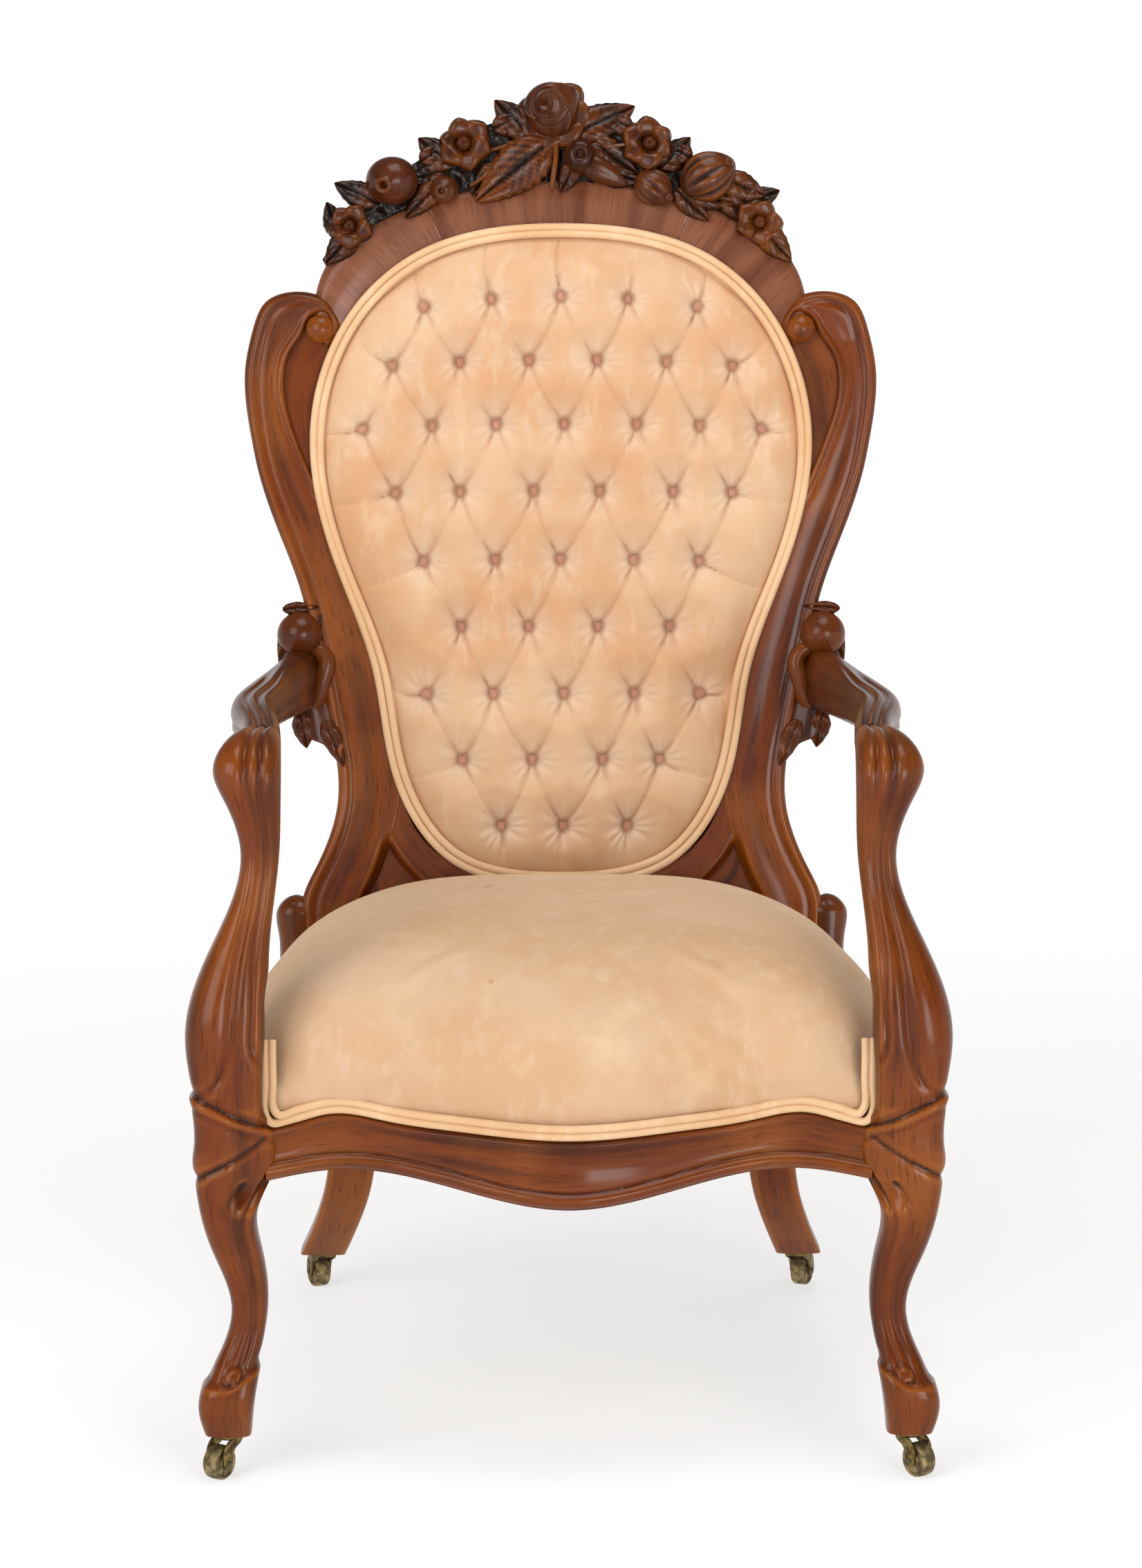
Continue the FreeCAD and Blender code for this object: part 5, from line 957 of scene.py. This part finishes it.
def podPoints(x, s, length, width, heading, lift, high, lobes, tip):
    # Lobed fruit along its own axis, blunt at the stalk and drawn to a tip.
    along = np.linspace(0.01, 0.99, 60)[:, None]
    angle = np.linspace(0, 2 * np.pi, 72, endpoint=False)[None]
    half = 0.5 * width * np.sin(np.pi * along**tip) ** 0.62
    half = half * (1 - 0.16 * np.abs(np.cos(lobes * angle / 2)) ** 8 * np.sin(np.pi * along) ** 0.5)
    h = lift + high / (0.5 * width) * half * np.cos(angle)
    return laidOnBack(x, s, heading, along * length, half * np.sin(angle), h)


def stalkPoints(radius, *places):
    # Thin stem through a few places of the leaning plane.
    path = curveThrough(places, 40)
    return tube(onBack(path[:, 0], path[:, 1], path[:, 2]), radius, 10, up=(0.0, -1.0, 0.0))


roseShape = {
    "middle": (-8, 681), "bud": 25, "lift": 11, "from": 13, "stretch": 0.76, "tip": 2.0,
    "petals": ((-140, 15, 6, 6), (-100, 17, 8, 6), (-58, 18, 8, 7), (-14, 16, 7, 7), (34, 14, 5, 7),
               (176, 12, 5, 6)),  # heading, radius, lift and height of each petal of the collar
}
flowerShape = {
    "flowers": ((-88, 650, 6.5, ((40, 15), (-18, 14), (-75, 14), (-140, 14), (165, 12), (100, 13))),
                (81, 650, 6.2, ((150, 15), (208, 14), (95, 14), (30, 12), (-30, 12), (-95, 14))),
                (-192, 575, 5.2, ((60, 12), (128, 11), (196, 11), (-92, 12), (-20, 12))),
                (181, 578, 5.4, ((136, 13), (196, 12), (66, 12), (-8, 12), (-82, 12)))),
    # middle and boss of each flower, then heading and radius of each petal
    "lifts": (6, 8.5), "high": 8.5, "stretch": 0.86, "tip": 2.5, "bossLift": 14, "bossHole": 0.3,
}
fruitShape = (
    (fruitPoints, (-153, 616, 24, 11, (-0.34, -0.3), 0.2, 0.92)),
    (fruitPoints, (-106, 608, 13, 12, (-0.2, -0.25), 0.3)),
    (fruitPoints, (18, 638, 15, 12, (0.0, 0.1), 0.42, 1.1)),
    (podPoints, (20, 634, 46, 24, -28, 11, 11, 2, 0.55)),
    (podPoints, (70, 622, 40, 33, -40, 12, 14, 6, 0.9)),
    (fruitPoints, (98, 600, 4.6, 19, (0.2, -0.2), 0.4)),
    (podPoints, (110, 606, 56, 46, 30, 12, 19, 7, 0.95)),
    (fruitPoints, (152, 631, 5, 21, (0.3, 0.3), 0.4)),
)  # a ball's place, radius, lift, eye and hole; a pod's place, length, width, heading, lift, height, lobes
leafShape = {
    "leaves": (
        (-8, 652, 88, 50, 216, 7, 11, 9, 0.05), (-26, 656, 48, 34, 132, 3, 9, 7, 0.05),
        (12, 658, 62, 38, 28, 3, 10, 8, -0.05), (14, 634, 32, 22, -116, 5, 8, 5, 0.0),
        (28, 654, 52, 32, -40, 3, 9, 7, 0.06), (-96, 630, 42, 32, 146, 3, 8, 6, -0.06),
        (-104, 626, 36, 26, 190, 2, 8, 5, 0.1), (90, 628, 40, 30, 40, 3, 8, 6, 0.08),
        (-108, 614, 46, 24, 218, 6, 8, 6, 0.1), (-56, 632, 38, 24, 226, 3, 8, 5, 0.05),
        (104, 608, 42, 24, -40, 7, 8, 6, -0.05), (114, 606, 46, 24, -16, 6, 8, 6, 0.05),
        (148, 618, 42, 30, -22, 5, 9, 6, 0.0), (182, 574, 42, 28, -48, 5, 9, 6, 0.0),
        (-186, 572, 42, 28, 228, 5, 9, 6, 0.0), (-166, 596, 44, 28, 152, 3, 8, 6, 0.05),
        (36, 626, 38, 26, -18, 4, 8, 5, 0.05), (-200, 566, 34, 24, 112, 3, 8, 5, 0.0),
        (146, 602, 40, 24, -36, 3, 8, 5, 0.0), (66, 664, 34, 24, 158, 3, 8, 5, 0.0),
        (-62, 664, 34, 24, 20, 3, 8, 5, 0.0), (168, 596, 34, 24, 20, 3, 8, 5, 0.0),
        (-128, 634, 30, 22, 30, 3, 8, 5, 0.0), (120, 636, 28, 22, 150, 3, 8, 5, 0.0),
    ),  # stalk, length, width, heading, lift, height, veins, sideways curl
    "stalks": ((2.4, (-5, 656, 12), (-4, 640, 13), (-6, 624, 12), (-8, 610, 9)),
               (1.8, (-64, 644, 8), (-50, 648, 9), (-30, 652, 8)),
               (1.8, (30, 650, 8), (46, 648, 9), (62, 650, 8)),
               (1.8, (-82, 612, 8), (-70, 620, 10), (-60, 634, 8))),  # radius, then places along each stem
}

roseX, roseS = roseShape["middle"]
roseParts = [rosePoints(roseX, roseS, roseShape["bud"], roseShape["lift"])]
for petal in roseShape["petals"]:
    roseParts.append(petalPoints(roseX, roseS, roseShape["from"], *petal, roseShape["stretch"],
                                 roseShape["tip"]))
flowerParts = []
for x, s, boss, petals in flowerShape["flowers"]:
    for k, (heading, radius) in enumerate(petals):
        flowerParts.append(petalPoints(x, s, 0.3 * boss, heading, radius, flowerShape["lifts"][k % 2],
                                       flowerShape["high"], flowerShape["stretch"], flowerShape["tip"]))
    flowerParts.append(fruitPoints(x, s, boss, flowerShape["bossLift"], (0.0, 0.0), flowerShape["bossHole"]))
fruitParts = [build(*sizes) for build, sizes in fruitShape]
leafParts = [leafPoints(*leaf) for leaf in leafShape["leaves"]]
leafParts += [stalkPoints(*stalk) for stalk in leafShape["stalks"]]
for name, node, parts in (("crestRose", "crest_rose", roseParts),
                          ("crestFlowers", "crest_flowers", flowerParts),
                          ("crestFruit", "crest_fruit", fruitParts),
                          ("crestLeaves", "crest_leaves", leafParts)):
    makePiece(name, [surface(part) for part in parts], walnutCrest, replaces=[node])
print("crest ready")

# back upholstery: tufted pad, covered buttons and double welt

tuftShape = {
    "rows": ((511, 9, (-124, -63, 0, 61, 124)), (453, 3, (-153, -92, -29, 33, 96, 156)),
             (395, 2, (-180, -117, -59, 3, 69, 126, 182)), (334, 1, (-150, -92, -25, 35, 102, 155)),
             (272, 2, (-125, -60, -1, 66, 125)), (211, 0, (-91, -30, 33, 98)),
             (150, 0, (-122, -62, 2, 66, 125)), (90, 0, (-90, -27, 37, 88)),
             (30, 0, (-55, 1, 59))),  # height, droop at 124 across, places across
    "sideFolds": ((1, 1.22, 26), (2, 1.24, -2), (3, 1.42, -10), (4, 1.52, -26), (6, 1.3, 4),
                  (7, 1.5, -16)),  # row, how far out its outer buttons' folds reach, how much they rise
    "crown": 30, "edgeRise": 24, "dent": 17.0, "dentHalf": 19, "setin": 10.5, "rear": -10.0,
    "gridRows": 300, "gridColumns": 270, "buttonRadius": 6.2, "buttonHigh": 3.6,
}
buttonRows = [[(x, s - droop * (x / 124) ** 2) for x in places] for s, droop, places in tuftShape["rows"]]
buttonSpots = sum(buttonRows, [])


def pleatLines():
    # Folds run between neighbours of adjoining rows, and from the outer buttons to the edge.
    found = []
    for row, nextRow in zip(buttonRows, buttonRows[1:]):
        for x, s in row:
            found += [(x, s, xNext, sNext) for xNext, sNext in nextRow if abs(x - xNext) < 52]
    found += [(x, s, 1.06 * x, 571 - 0.0011 * abs(x) ** 2.1) for x, s in buttonRows[0]]
    found += [(x, s, 1.1 * x, -20) for x, s in buttonRows[-1]]
    for row, reach, tilt in tuftShape["sideFolds"]:
        for x, s in (buttonRows[row][0], buttonRows[row][-1]):
            found.append((x, s, reach * x, s + tilt))
    return found


def padGrid():
    # Grid over the oval, a little closer near its rim, and each point's distance from the rim.
    setin = tuftShape["setin"]
    ring = ovalRing(setin, 720)
    top, bottom = ring[:, 1].max(), ring[:, 1].min()
    level = (1 - np.cos(np.linspace(0.02, np.pi - 0.02, tuftShape["gridRows"]))) / 2
    level = 0.35 * level + 0.65 * np.linspace(level[0], level[-1], tuftShape["gridRows"])
    s = (bottom + (top - bottom) * level)[:, None]
    share = np.linspace(-1, 1, tuftShape["gridColumns"])[None]
    x = ovalHalf(s, setin) * (0.25 * np.sin(share * np.pi / 2) + 0.75 * share)
    s = s + 0 * x
    edge = np.full(x.shape, 1e9)
    for px, ps in ring:
        edge = np.minimum(edge, np.hypot(x - px, s - ps))
    return x, s, edge


def nearestButton(x, s):
    # Distance of the nearest button, and the direction away from it.
    button = np.full(x.shape, 1e9)
    turned = np.zeros(x.shape)
    for place, rise in buttonSpots:
        away = np.hypot(x - place, s - rise)
        turned = np.where(away < button, np.arctan2(s - rise, x - place), turned)
        button = np.minimum(button, away)
    return button, turned


def nearestFold(x, s):
    # Distance of the nearest fold, each bowed a little to one side, and the same with its sign.
    crease = np.full(x.shape, 1e9)
    signedSide = np.zeros(x.shape)
    for x1, s1, x2, s2 in pleatLines():
        run = np.array([x2 - x1, s2 - s1])
        length = np.hypot(*run)
        hand = 1 if run[0] > 0 else -1
        share = np.clip(((x - x1) * run[0] + (s - s1) * run[1]) / length**2, 0, 1)
        dx = x - x1 - share * run[0]
        ds = s - s1 - share * run[1]
        aside = (dx * run[1] - ds * run[0]) / length
        flank = aside - 3.6 * np.sin(np.pi * share) * hand
        away = np.hypot(flank, np.hypot(dx, ds) - np.abs(aside))
        signedSide = np.where(away < crease, flank * hand, signedSide)
        crease = np.minimum(crease, away)
    return crease, signedSide


def padPoints():
    # Stuffed dome that rises from the rim as 1 - exp(-t), dented at each button, with soft valleys and a
    # thin line along the folds and short gathers round the buttons; it also gives the colour's masks for
    # the painted sheen and painted shadow round the buttons and the painted shade along the folds.
    x, s, edge = padGrid()
    button, turned = nearestButton(x, s)
    crease, signedSide = nearestFold(x, s)
    dome = tuftShape["crown"] * (1 - np.exp(-edge / tuftShape["edgeRise"]))
    valley = np.exp(-crease / 9.0)
    near = np.exp(-((button / tuftShape["dentHalf"]) ** 1.15))
    line = np.exp(-((crease / 1.9) ** 2))
    uneven = smoothStep(noiseField(x, s, 21, 70), -0.3, 0.3)
    line = line * (0.2 + 0.8 * np.maximum(uneven * 0.8, smoothStep(button, 30, 14)))
    h = dome - 3.0 * valley * smoothStep(edge, 0, 14) - tuftShape["dent"] * near - (0.6 + 3.4 * near) * line
    h = h + 0.5 * bell(signedSide, 3.4, 2.0) * smoothStep(button, 6, 16)
    ripple = np.sin(11 * turned + 2.0 * np.sin(3 * turned)) * bell(button, 13, 9) * smoothStep(button, 6, 9)
    h = h + 1.0 * ripple + 0.9 * noiseField(x, s, 11, 60) * smoothStep(edge, 0, 20)
    h = np.maximum(h, 1.0)
    h = np.where(button < 5.5, np.minimum(h, dome - tuftShape["dent"]), h)
    rear = slice(None, None, -6)
    skin = np.concatenate([onBack(x, s, h), onBack(x[:, rear], s[:, rear], tuftShape["rear"])], 1)
    # Masks for painted light: nearness to a button, for the painted sheen round it and painted shadow in its
    # pit, and the fold lines, for painted shade.
    masks = {"tuft": np.exp(-((button / tuftShape["dentHalf"]) ** 1.5)),
             "foldShade": line * smoothStep(edge, -2, 6)}
    for key, mask in masks.items():
        whole = np.concatenate([mask, np.zeros_like(x[:, rear])], 1)
        masks[key] = np.concatenate([whole.ravel(), [0, 0]])  # the two fans' middles come last
    return skin, masks, (x, s, h)


def padHeight(x, s):
    # Height of the pad's grid point that is nearest to a place.
    gridX, gridS, gridH = padField
    near = np.argmin((gridX - x) ** 2 + (gridS - s) ** 2)
    return float(gridH.ravel()[near])


padSkin, padMasks, padField = padPoints()
backPad = makePiece("backPad", [surface(padSkin)], velvetBack, replaces=["back_pad"], sharp=70,
                    extra=padMasks)

buttonRadii = (tuftShape["buttonRadius"], tuftShape["buttonRadius"], tuftShape["buttonHigh"])
buttonParts = [ballPoints((x, s, padHeight(x, s) + 1.4), buttonRadii, 14, 24) for x, s in buttonSpots]
makePiece("backButtons", [surface(part) for part in buttonParts], velvetButton,
          replaces=["back_buttons"])

backWeltShape = {
    "cords": ((3.2, 5.0, 3.5, 1), (9.4, 5.4, 3.4, 2)),  # drawn in, height, radius, seed of its wobble
    "tape": (1.5, 12, 3.5, 3.5),  # outer and inner edge drawn in, height, thickness
}
outsideShape = {
    "steps": ((-1, 0), (-10, 0), (-9.6, 2.4), (-7, 4.2), (0, 5.0), (30, 5.8), (90, 6.2), (220, 6.4)),
    "rear": -30.0, "deepest": 150, "core": 0.05,  # drawn in and behind; the last loop shrinks to a core
}


def ovalCord(setin, h, radius, seed):
    # Cord round the oval, with a slight wobble in height and thickness.
    ring = ovalRing(setin, 520)
    wobble = 0.25 * noiseField(ring[:, 0], ring[:, 1], seed, 40)
    path = onBack(ring[:, 0], ring[:, 1], h + wobble)
    return surface(tube(path, radius + 0.15 * wobble, 14, ring=True, up=(0.0, -1.0, 0.18)), ring=True)


def flatRing(outerSetin, innerSetin, h, thick):
    # Flat tape under the cords: a four-cornered section carried round the oval.
    outer = ovalRing(outerSetin, 360).T
    inner = ovalRing(innerSetin, 360).T
    corners = [onBack(*outer, h), onBack(*inner, h), onBack(*inner, h - thick), onBack(*outer, h - thick)]
    return surface(np.stack(corners, 1), ring=True)


def outsidePoints():
    # Outer cover on the back of the frame, a little drawn in at its edge.
    middle = np.array([0, backShape["middle"]])
    loops = []
    for setin, deep in outsideShape["steps"]:
        ring = ovalRing(min(setin, outsideShape["deepest"]), 240)
        if setin > outsideShape["deepest"]:
            ring = middle + (ring - middle) * outsideShape["core"]
        loops.append(onBack(ring[:, 0], ring[:, 1], outsideShape["rear"] - deep))
    return np.stack(loops)


welts = [ovalCord(*cord) for cord in backWeltShape["cords"]] + [flatRing(*backWeltShape["tape"])]
makePiece("backWelt", welts, velvetWelt, replaces=["back_welt"])
makePiece("outsideBack", [surface(outsidePoints())], velvetPlain, replaces=["outside_back"],
          sharp=60)
print("back upholstery ready")

# seat: stuffed pad over the springs, and the double welt before it

seatShape = {
    "front": ((-248, -290.5), (-190, -279.5), (-87.4, -299.4), (0, -320.5), (87.4, -299.4), (190, -279.5),
              (248, -290.5)),
    "flank": ((248, -253), (264, -228), (278, -198), (274, -110), (268, -30), (250, 66), (226, 146)),
    "levels": ((0, 293, 5), (0.12, 308, 0), (0.28, 335, -1), (0.42, 362, 5), (0.55, 386, 20),
               (0.67, 406, 46), (0.78, 423, 82), (0.89, 437, 134),
               (1.0, 446, 205)),  # place, height, drawn in
    "round": ((-238, -274), (-150, -292), (0, -318), (150, -292), (238, -274), (272, -208), (277, -110),
              (267, -20), (246, 76), (206, 138), (100, 148), (-100, 148), (-206, 138), (-246, 76),
              (-267, -20), (-277, -110), (-272, -208)),  # plan above the posts' notches
    "middle": (0, -60.0), "reach": 278, "loose": (300, 350),  # heights between which the plan turns round
    "crown": ((0.18, 448.2), (0.08, 448.8), (0.01, 449)),  # last loops: size and height
    "count": 300, "voxel": 0.0058, "most": 6.0, "pinnedBelow": 0.300, "frames": 20,
}
coverCloth = {
    "quality": 6, "mass": 0.4, "tension_stiffness": 25, "compression_stiffness": 25, "bending_stiffness": 2.0,
    "use_pressure": True, "uniform_pressure_force": 4.0, "vertex_group_mass": "pinned",
}


def seatOutline(count):
    # Plan of the seat's foot, evenly spaced: the front's serpentine, the notch at each post, flanks and rear.
    front = curveThrough(seatShape["front"], 140)
    flank = curveThrough(seatShape["flank"][1:], 110)
    near = curveThrough((seatShape["front"][-1], seatShape["flank"][0]), 14)[1:]
    turnIn = curveThrough((seatShape["flank"][0], seatShape["flank"][1]), 12)[1:-1]
    rearX, rearY = seatShape["flank"][-1]
    rear = np.stack([np.linspace(rearX, -rearX, 90), np.full(90, float(rearY))], 1)[1:-1]
    right = np.concatenate([near, turnIn, flank])
    left = right[::-1] * np.array([-1, 1])
    loop = np.concatenate([front, right, rear, left])[:-1]
    closed = np.vstack([loop, loop[:1]])
    gone = np.concatenate([[0], np.cumsum(np.linalg.norm(np.diff(closed, axis=0), axis=1))])
    even = np.linspace(0, gone[-1], count, endpoint=False)
    return np.stack([np.interp(even, gone, closed[:, k]) for k in range(2)], 1)


def seatPoints():
    # Loops from the rails up: the foot's plan turns into a rounded one and draws in towards the crown.
    count = seatShape["count"]
    outline = seatOutline(count)
    rounded = curveThrough(seatShape["round"], count, closed=True)
    table = np.array(seatShape["levels"], float)
    middle = np.array(seatShape["middle"])
    rows = []
    for height, inset in cubicThrough(table[:, 0], table[:, 1:], np.linspace(0, 1, 64)):
        loose = smoothStep(height, *seatShape["loose"])
        plan = outline * (1 - loose) + rounded * loose
        loop = middle + (plan - middle) * (1 - inset / seatShape["reach"])
        rows.append(np.column_stack([loop, np.full(count, height)]))
    for shrink, height in seatShape["crown"]:
        rows.append(np.column_stack([middle + (rounded - middle) * shrink, np.full(count, height)]))
    return np.stack(rows)


def readPlaces(piece):
    # The mesh's vertices as an array.
    places = np.empty(len(piece.data.vertices) * 3, np.float32)
    piece.data.vertices.foreach_get("co", places)
    return places.reshape(-1, 3)


def stuffed(piece):
    # Cover blown up a little by its stuffing: remeshed, run as cloth with inner pressure, then moved no
    # further than the given distance and smoothed by one subdivision.
    bpy.context.view_layer.objects.active = piece
    remesh = piece.modifiers.new("even", "REMESH")
    remesh.mode = "VOXEL"
    remesh.voxel_size = seatShape["voxel"]
    bpy.ops.object.modifier_apply(modifier=remesh.name)
    start = readPlaces(piece)
    pinned = np.flatnonzero(start[:, 2] < seatShape["pinnedBelow"])
    piece.vertex_groups.new(name="pinned").add([int(k) for k in pinned], 1.0, "REPLACE")
    cloth = piece.modifiers.new("cloth", "CLOTH")
    for key, value in coverCloth.items():
        setattr(cloth.settings, key, value)
    cloth.settings.effector_weights.gravity = 0
    cloth.point_cache.frame_start = 1
    cloth.point_cache.frame_end = seatShape["frames"]
    for step in range(1, seatShape["frames"] + 1):
        scene.frame_set(step)
    bpy.ops.object.modifier_apply(modifier=cloth.name)
    scene.frame_set(1)
    shift = readPlaces(piece) - start
    length = np.linalg.norm(shift, axis=1, keepdims=True)
    shift *= np.minimum(1, seatShape["most"] * mm / np.maximum(length, 1e-9))
    piece.data.vertices.foreach_set("co", (start + shift).ravel())
    fine = piece.modifiers.new("fine", "SUBSURF")
    fine.levels = 1
    fine.render_levels = 1
    bpy.ops.object.modifier_apply(modifier=fine.name)
    piece.data.polygons.foreach_set("use_smooth", np.ones(len(piece.data.polygons), bool))
    piece.data.update()


seatPad = makePiece("seatPad", [surface(seatPoints())], velvetSeat, replaces=["seat_pad"], sharp=80)
stuffed(seatPad)

seatWeltShape = {
    "cords": ((0.0, 3.5), (6.4, 3.4)),  # inwards from the outer cord, radius
    "turn": 236, "side": 250.5, "low": 297.5, "behind": 3.2, "corner": -294.0,
    "rise": ((0.3, 1, 325), (0.2, 3, 350), (0.5, 10, 366)),  # up the post: outwards, backwards, height
}


def weltPath(inset):
    # Cord along the rail's top edge, turned up beside each arm post; inset is inwards from the outer cord.
    x = np.linspace(-1, 1, 181) * (seatWeltShape["turn"] - inset)
    low = seatWeltShape["low"] + inset
    y = railShape["joint"] - railLine("face", x) + seatWeltShape["behind"]
    run = np.stack([x, y, low - railShape["top"][0][1] + railLine("top", x)], 1)
    side = seatWeltShape["side"] - inset
    corner = seatWeltShape["corner"]
    right = [(side - 5, corner, low + 1.6), (side, corner, low + 9)]
    right = np.array(right + [(side + out, corner + back, z) for out, back, z in seatWeltShape["rise"]])
    left = right[::-1] * np.array([-1, 1, 1])
    return curveThrough(np.concatenate([left, run[::6], right]), 420)


welts = [surface(tube(weltPath(inset), radius, 14, up=(0.0, -1.0, 0.05)))
         for inset, radius in seatWeltShape["cords"]]
makePiece("seatWelt", welts, velvetWelt, replaces=["seat_welt"])
print("seat ready")

# casters

casterShape = {
    "places": {"front_left": (-283, -301, -126), "front_right": (283, -301, -54),
               "rear_left": (-223, 271, -246), "rear_right": (223, 271, 66)},  # pivot, heading of the trail
    "trail": 13, "hub": 14.5,
    "wheel": ((2.05, 7), (4.6, 7), (5.2, 6.6), (5.6, 5.7), (10.6, 5.4), (11.2, 6.3), (12.0, 6.9), (13.2, 6.7),
              (14.1, 5.6), (14.45, 3.4), (14.5, 0)),  # half profile: radius, along the axle
    "cheek": ((-7, 34.4), (4, 35.0), (10, 33.2), (15.5, 29.0), (18.2, 22.0), (18.6, 15.5), (17.2, 10.8),
              (13.2, 9.1), (9.0, 10.6), (7.4, 15.0), (6.2, 21.0), (2.0, 27.0), (-5, 30.4)),
    "cheekLayers": ((0.9, 7.75), (0.0, 8.3), (0.0, 9.7), (0.9, 10.25)),  # drawn in, along the axle
    "disc": (11.8, 32.7, 35.6, 0.7),  # radius, from, to, eased edge
}


def turnedAbout(points, heading, x, y):
    # Points turned by a heading about the upright through the origin, then moved to the pivot.
    c, s = math.cos(heading), math.sin(heading)
    return np.stack([x + points[..., 0] * c - points[..., 1] * s, y + points[..., 0] * s + points[..., 1] * c,
                     points[..., 2]], -1)


def wheelPoints():
    # Dished wheel: its profile turned about the axle.
    half = np.array(casterShape["wheel"], float)
    profile = np.concatenate([half, half[-2::-1] * np.array([1, -1])])
    angle = np.linspace(0, 2 * np.pi, 64, endpoint=False)[:, None]
    radius = profile[None, :, 0]
    return np.stack([casterShape["trail"] + radius * np.cos(angle), profile[None, :, 1] + 0 * angle,
                     casterShape["hub"] + radius * np.sin(angle)], -1)


def cheekPoints(side):
    # One cheek of the horn: its outline as a plate with eased edges.
    outline = curveThrough(casterShape["cheek"], 90, closed=True)
    middle = outline.mean(0)
    loops = []
    for inset, along in casterShape["cheekLayers"]:
        ring = middle + (outline - middle) * (1 - inset / 11)
        loops.append(np.stack([ring[:, 0], np.full(90, side * along), ring[:, 1]], 1))
    return np.stack(loops)


def discPoints(radius, low, high, soft):
    # Plate on top of the horn, with eased edges.
    profile = np.array([(0.2, low), (radius - soft, low), (radius, low + soft), (radius, high - soft),
                        (radius - soft, high), (0.2, high)])
    angle = np.linspace(0, 2 * np.pi, 48, endpoint=False)[None]
    return np.stack([profile[:, :1] * np.cos(angle), profile[:, :1] * np.sin(angle),
                     profile[:, 1:] + 0 * angle], -1)


for corner, (x, y, heading) in casterShape["places"].items():
    way = math.radians(heading)
    makePiece(f"casterWheel_{corner}", [surface(turnedAbout(wheelPoints(), way, x, y), ring=True)], tread,
              body=f"roller_{corner}", replaces=[f"caster_wheel_{corner}"])
    hornParts = [cheekPoints(1), cheekPoints(-1), discPoints(*casterShape["disc"])]
    makePiece(f"casterHorn_{corner}", [surface(turnedAbout(part, way, x, y)) for part in hornParts], brass,
              body=f"swivel_{corner}", replaces=[f"caster_horn_{corner}"])
print("casters ready")

# pieces that keep the shape of the construction


def dress(names, material):
    # Gives nodes of the frame a material.
    for name in names:
        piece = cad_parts[name]
        piece.data.materials.clear()
        piece.data.materials.append(material)


corners = list(casterShape["places"])
dress(["rear_seat_rail"], walnutPlain)
dress(["corner_blocks", "rail_dowels", "arm_dowels", "back_dowels"], birch)
dress(["corner_block_screws"], steel)
dress(["back_hessian", "seat_hessian", "seat_webbing"], jute)
dress(["seat_springs"], springSteel)
dress([f"caster_plate_{corner}" for corner in corners], brass)
dress([f"caster_axle_{corner}" for corner in corners], steel)

# floor, light and camera, in metres

stageShape = {
    "floorHalf": 80, "paper": "#B4B4B4", "glow": (0.6, 4.0, 0.64, 1.0), "walls": (0.12, 0.4, 1.0, 0.22),
    "lights": (("key", (-2.1, -2.8, 2.2), (0, 0, 0.55), 2.2, 66),
               ("fill", (1.5, -3.6, 1.1), (0, 0, 0.45), 1.4, 48),
               ("top", (0.2, -0.4, 3.2), (0, 0, 0.5), 1.6, 36)),  # place, aim, side in metres, watts
    "lens": 118.1, "shift": 9 / 2268, "camera": (-0.058, -4.422, 1.309), "tip": 9.99, "turn": -0.755,
}


reach = stageShape["floorHalf"]
floorMesh = bpy.data.meshes.new("floor")
floorMesh.from_pydata([(-reach, -reach, 0), (reach, -reach, 0), (reach, reach, 0), (-reach, reach, 0)], [],
                      [(0, 1, 2, 3)])
floor = bpy.data.objects.new("floor", floorMesh)
scene.collection.objects.link(floor)
# The paper glows a little more away from the chair, so that the ground goes over into a white backdrop.
paper, tree = startMaterial("palePaper")
place = addNode(tree, "TexCoord", "Object", {})
fromChair = addNode(tree, "VectorMath", "Value", {0: place}, operation="LENGTH")
glow = addNode(tree, "MapRange", "Result", ranged(fromChair, *stageShape["glow"]), **smooth)
finishMaterial(tree, {
    "Base Color": hexColour(stageShape["paper"]), "Roughness": 0.9, "Specular IOR Level": 0.05,
    "Emission Color": (1.0, 1.0, 1.0, 1.0), "Emission Strength": glow})
floorMesh.materials.append(paper)

# White near the horizon, like a studio's walls, and dimmer overhead.
world = bpy.data.worlds.new("studio")
scene.world = world
world.use_nodes = True
tree = world.node_tree
tree.nodes.clear()
skyward = addNode(tree, "SeparateXYZ", "Z", {0: addNode(tree, "TexCoord", "Generated", {})})
dimming = addNode(tree, "MapRange", "Result", ranged(skyward, *stageShape["walls"]), **smooth)
walls = addNode(tree, "Background", "Background", {"Color": (1.0, 1.0, 1.0, 1.0), "Strength": dimming})
addNode(tree, "OutputWorld", None, {"Surface": walls})


def areaLight(name, place, aim, size, power):
    # Square light turned to face its aim: pitch and heading are the angles of the line to it.
    data = bpy.data.lights.new(name, "AREA")
    data.shape = "SQUARE"
    data.size = size
    data.energy = power
    lamp = bpy.data.objects.new(name, data)
    scene.collection.objects.link(lamp)
    away = np.array(aim, float) - np.array(place, float)
    lamp.location = place
    flat = math.hypot(away[0], away[1])
    lamp.rotation_euler = (math.pi / 2 + math.atan2(away[2], flat), 0, math.atan2(-away[0], away[1]))


for light in stageShape["lights"]:
    areaLight(*light)

cameraData = bpy.data.cameras.new("camera")
cameraData.lens = stageShape["lens"]
cameraData.shift_x = stageShape["shift"]
camera = bpy.data.objects.new("camera", cameraData)
scene.collection.objects.link(camera)
camera.location = stageShape["camera"]
camera.rotation_euler = (math.radians(90 - stageShape["tip"]), 0, math.radians(stageShape["turn"]))
scene.camera = camera
scene.view_settings.view_transform = "Standard"
print("stage ready")
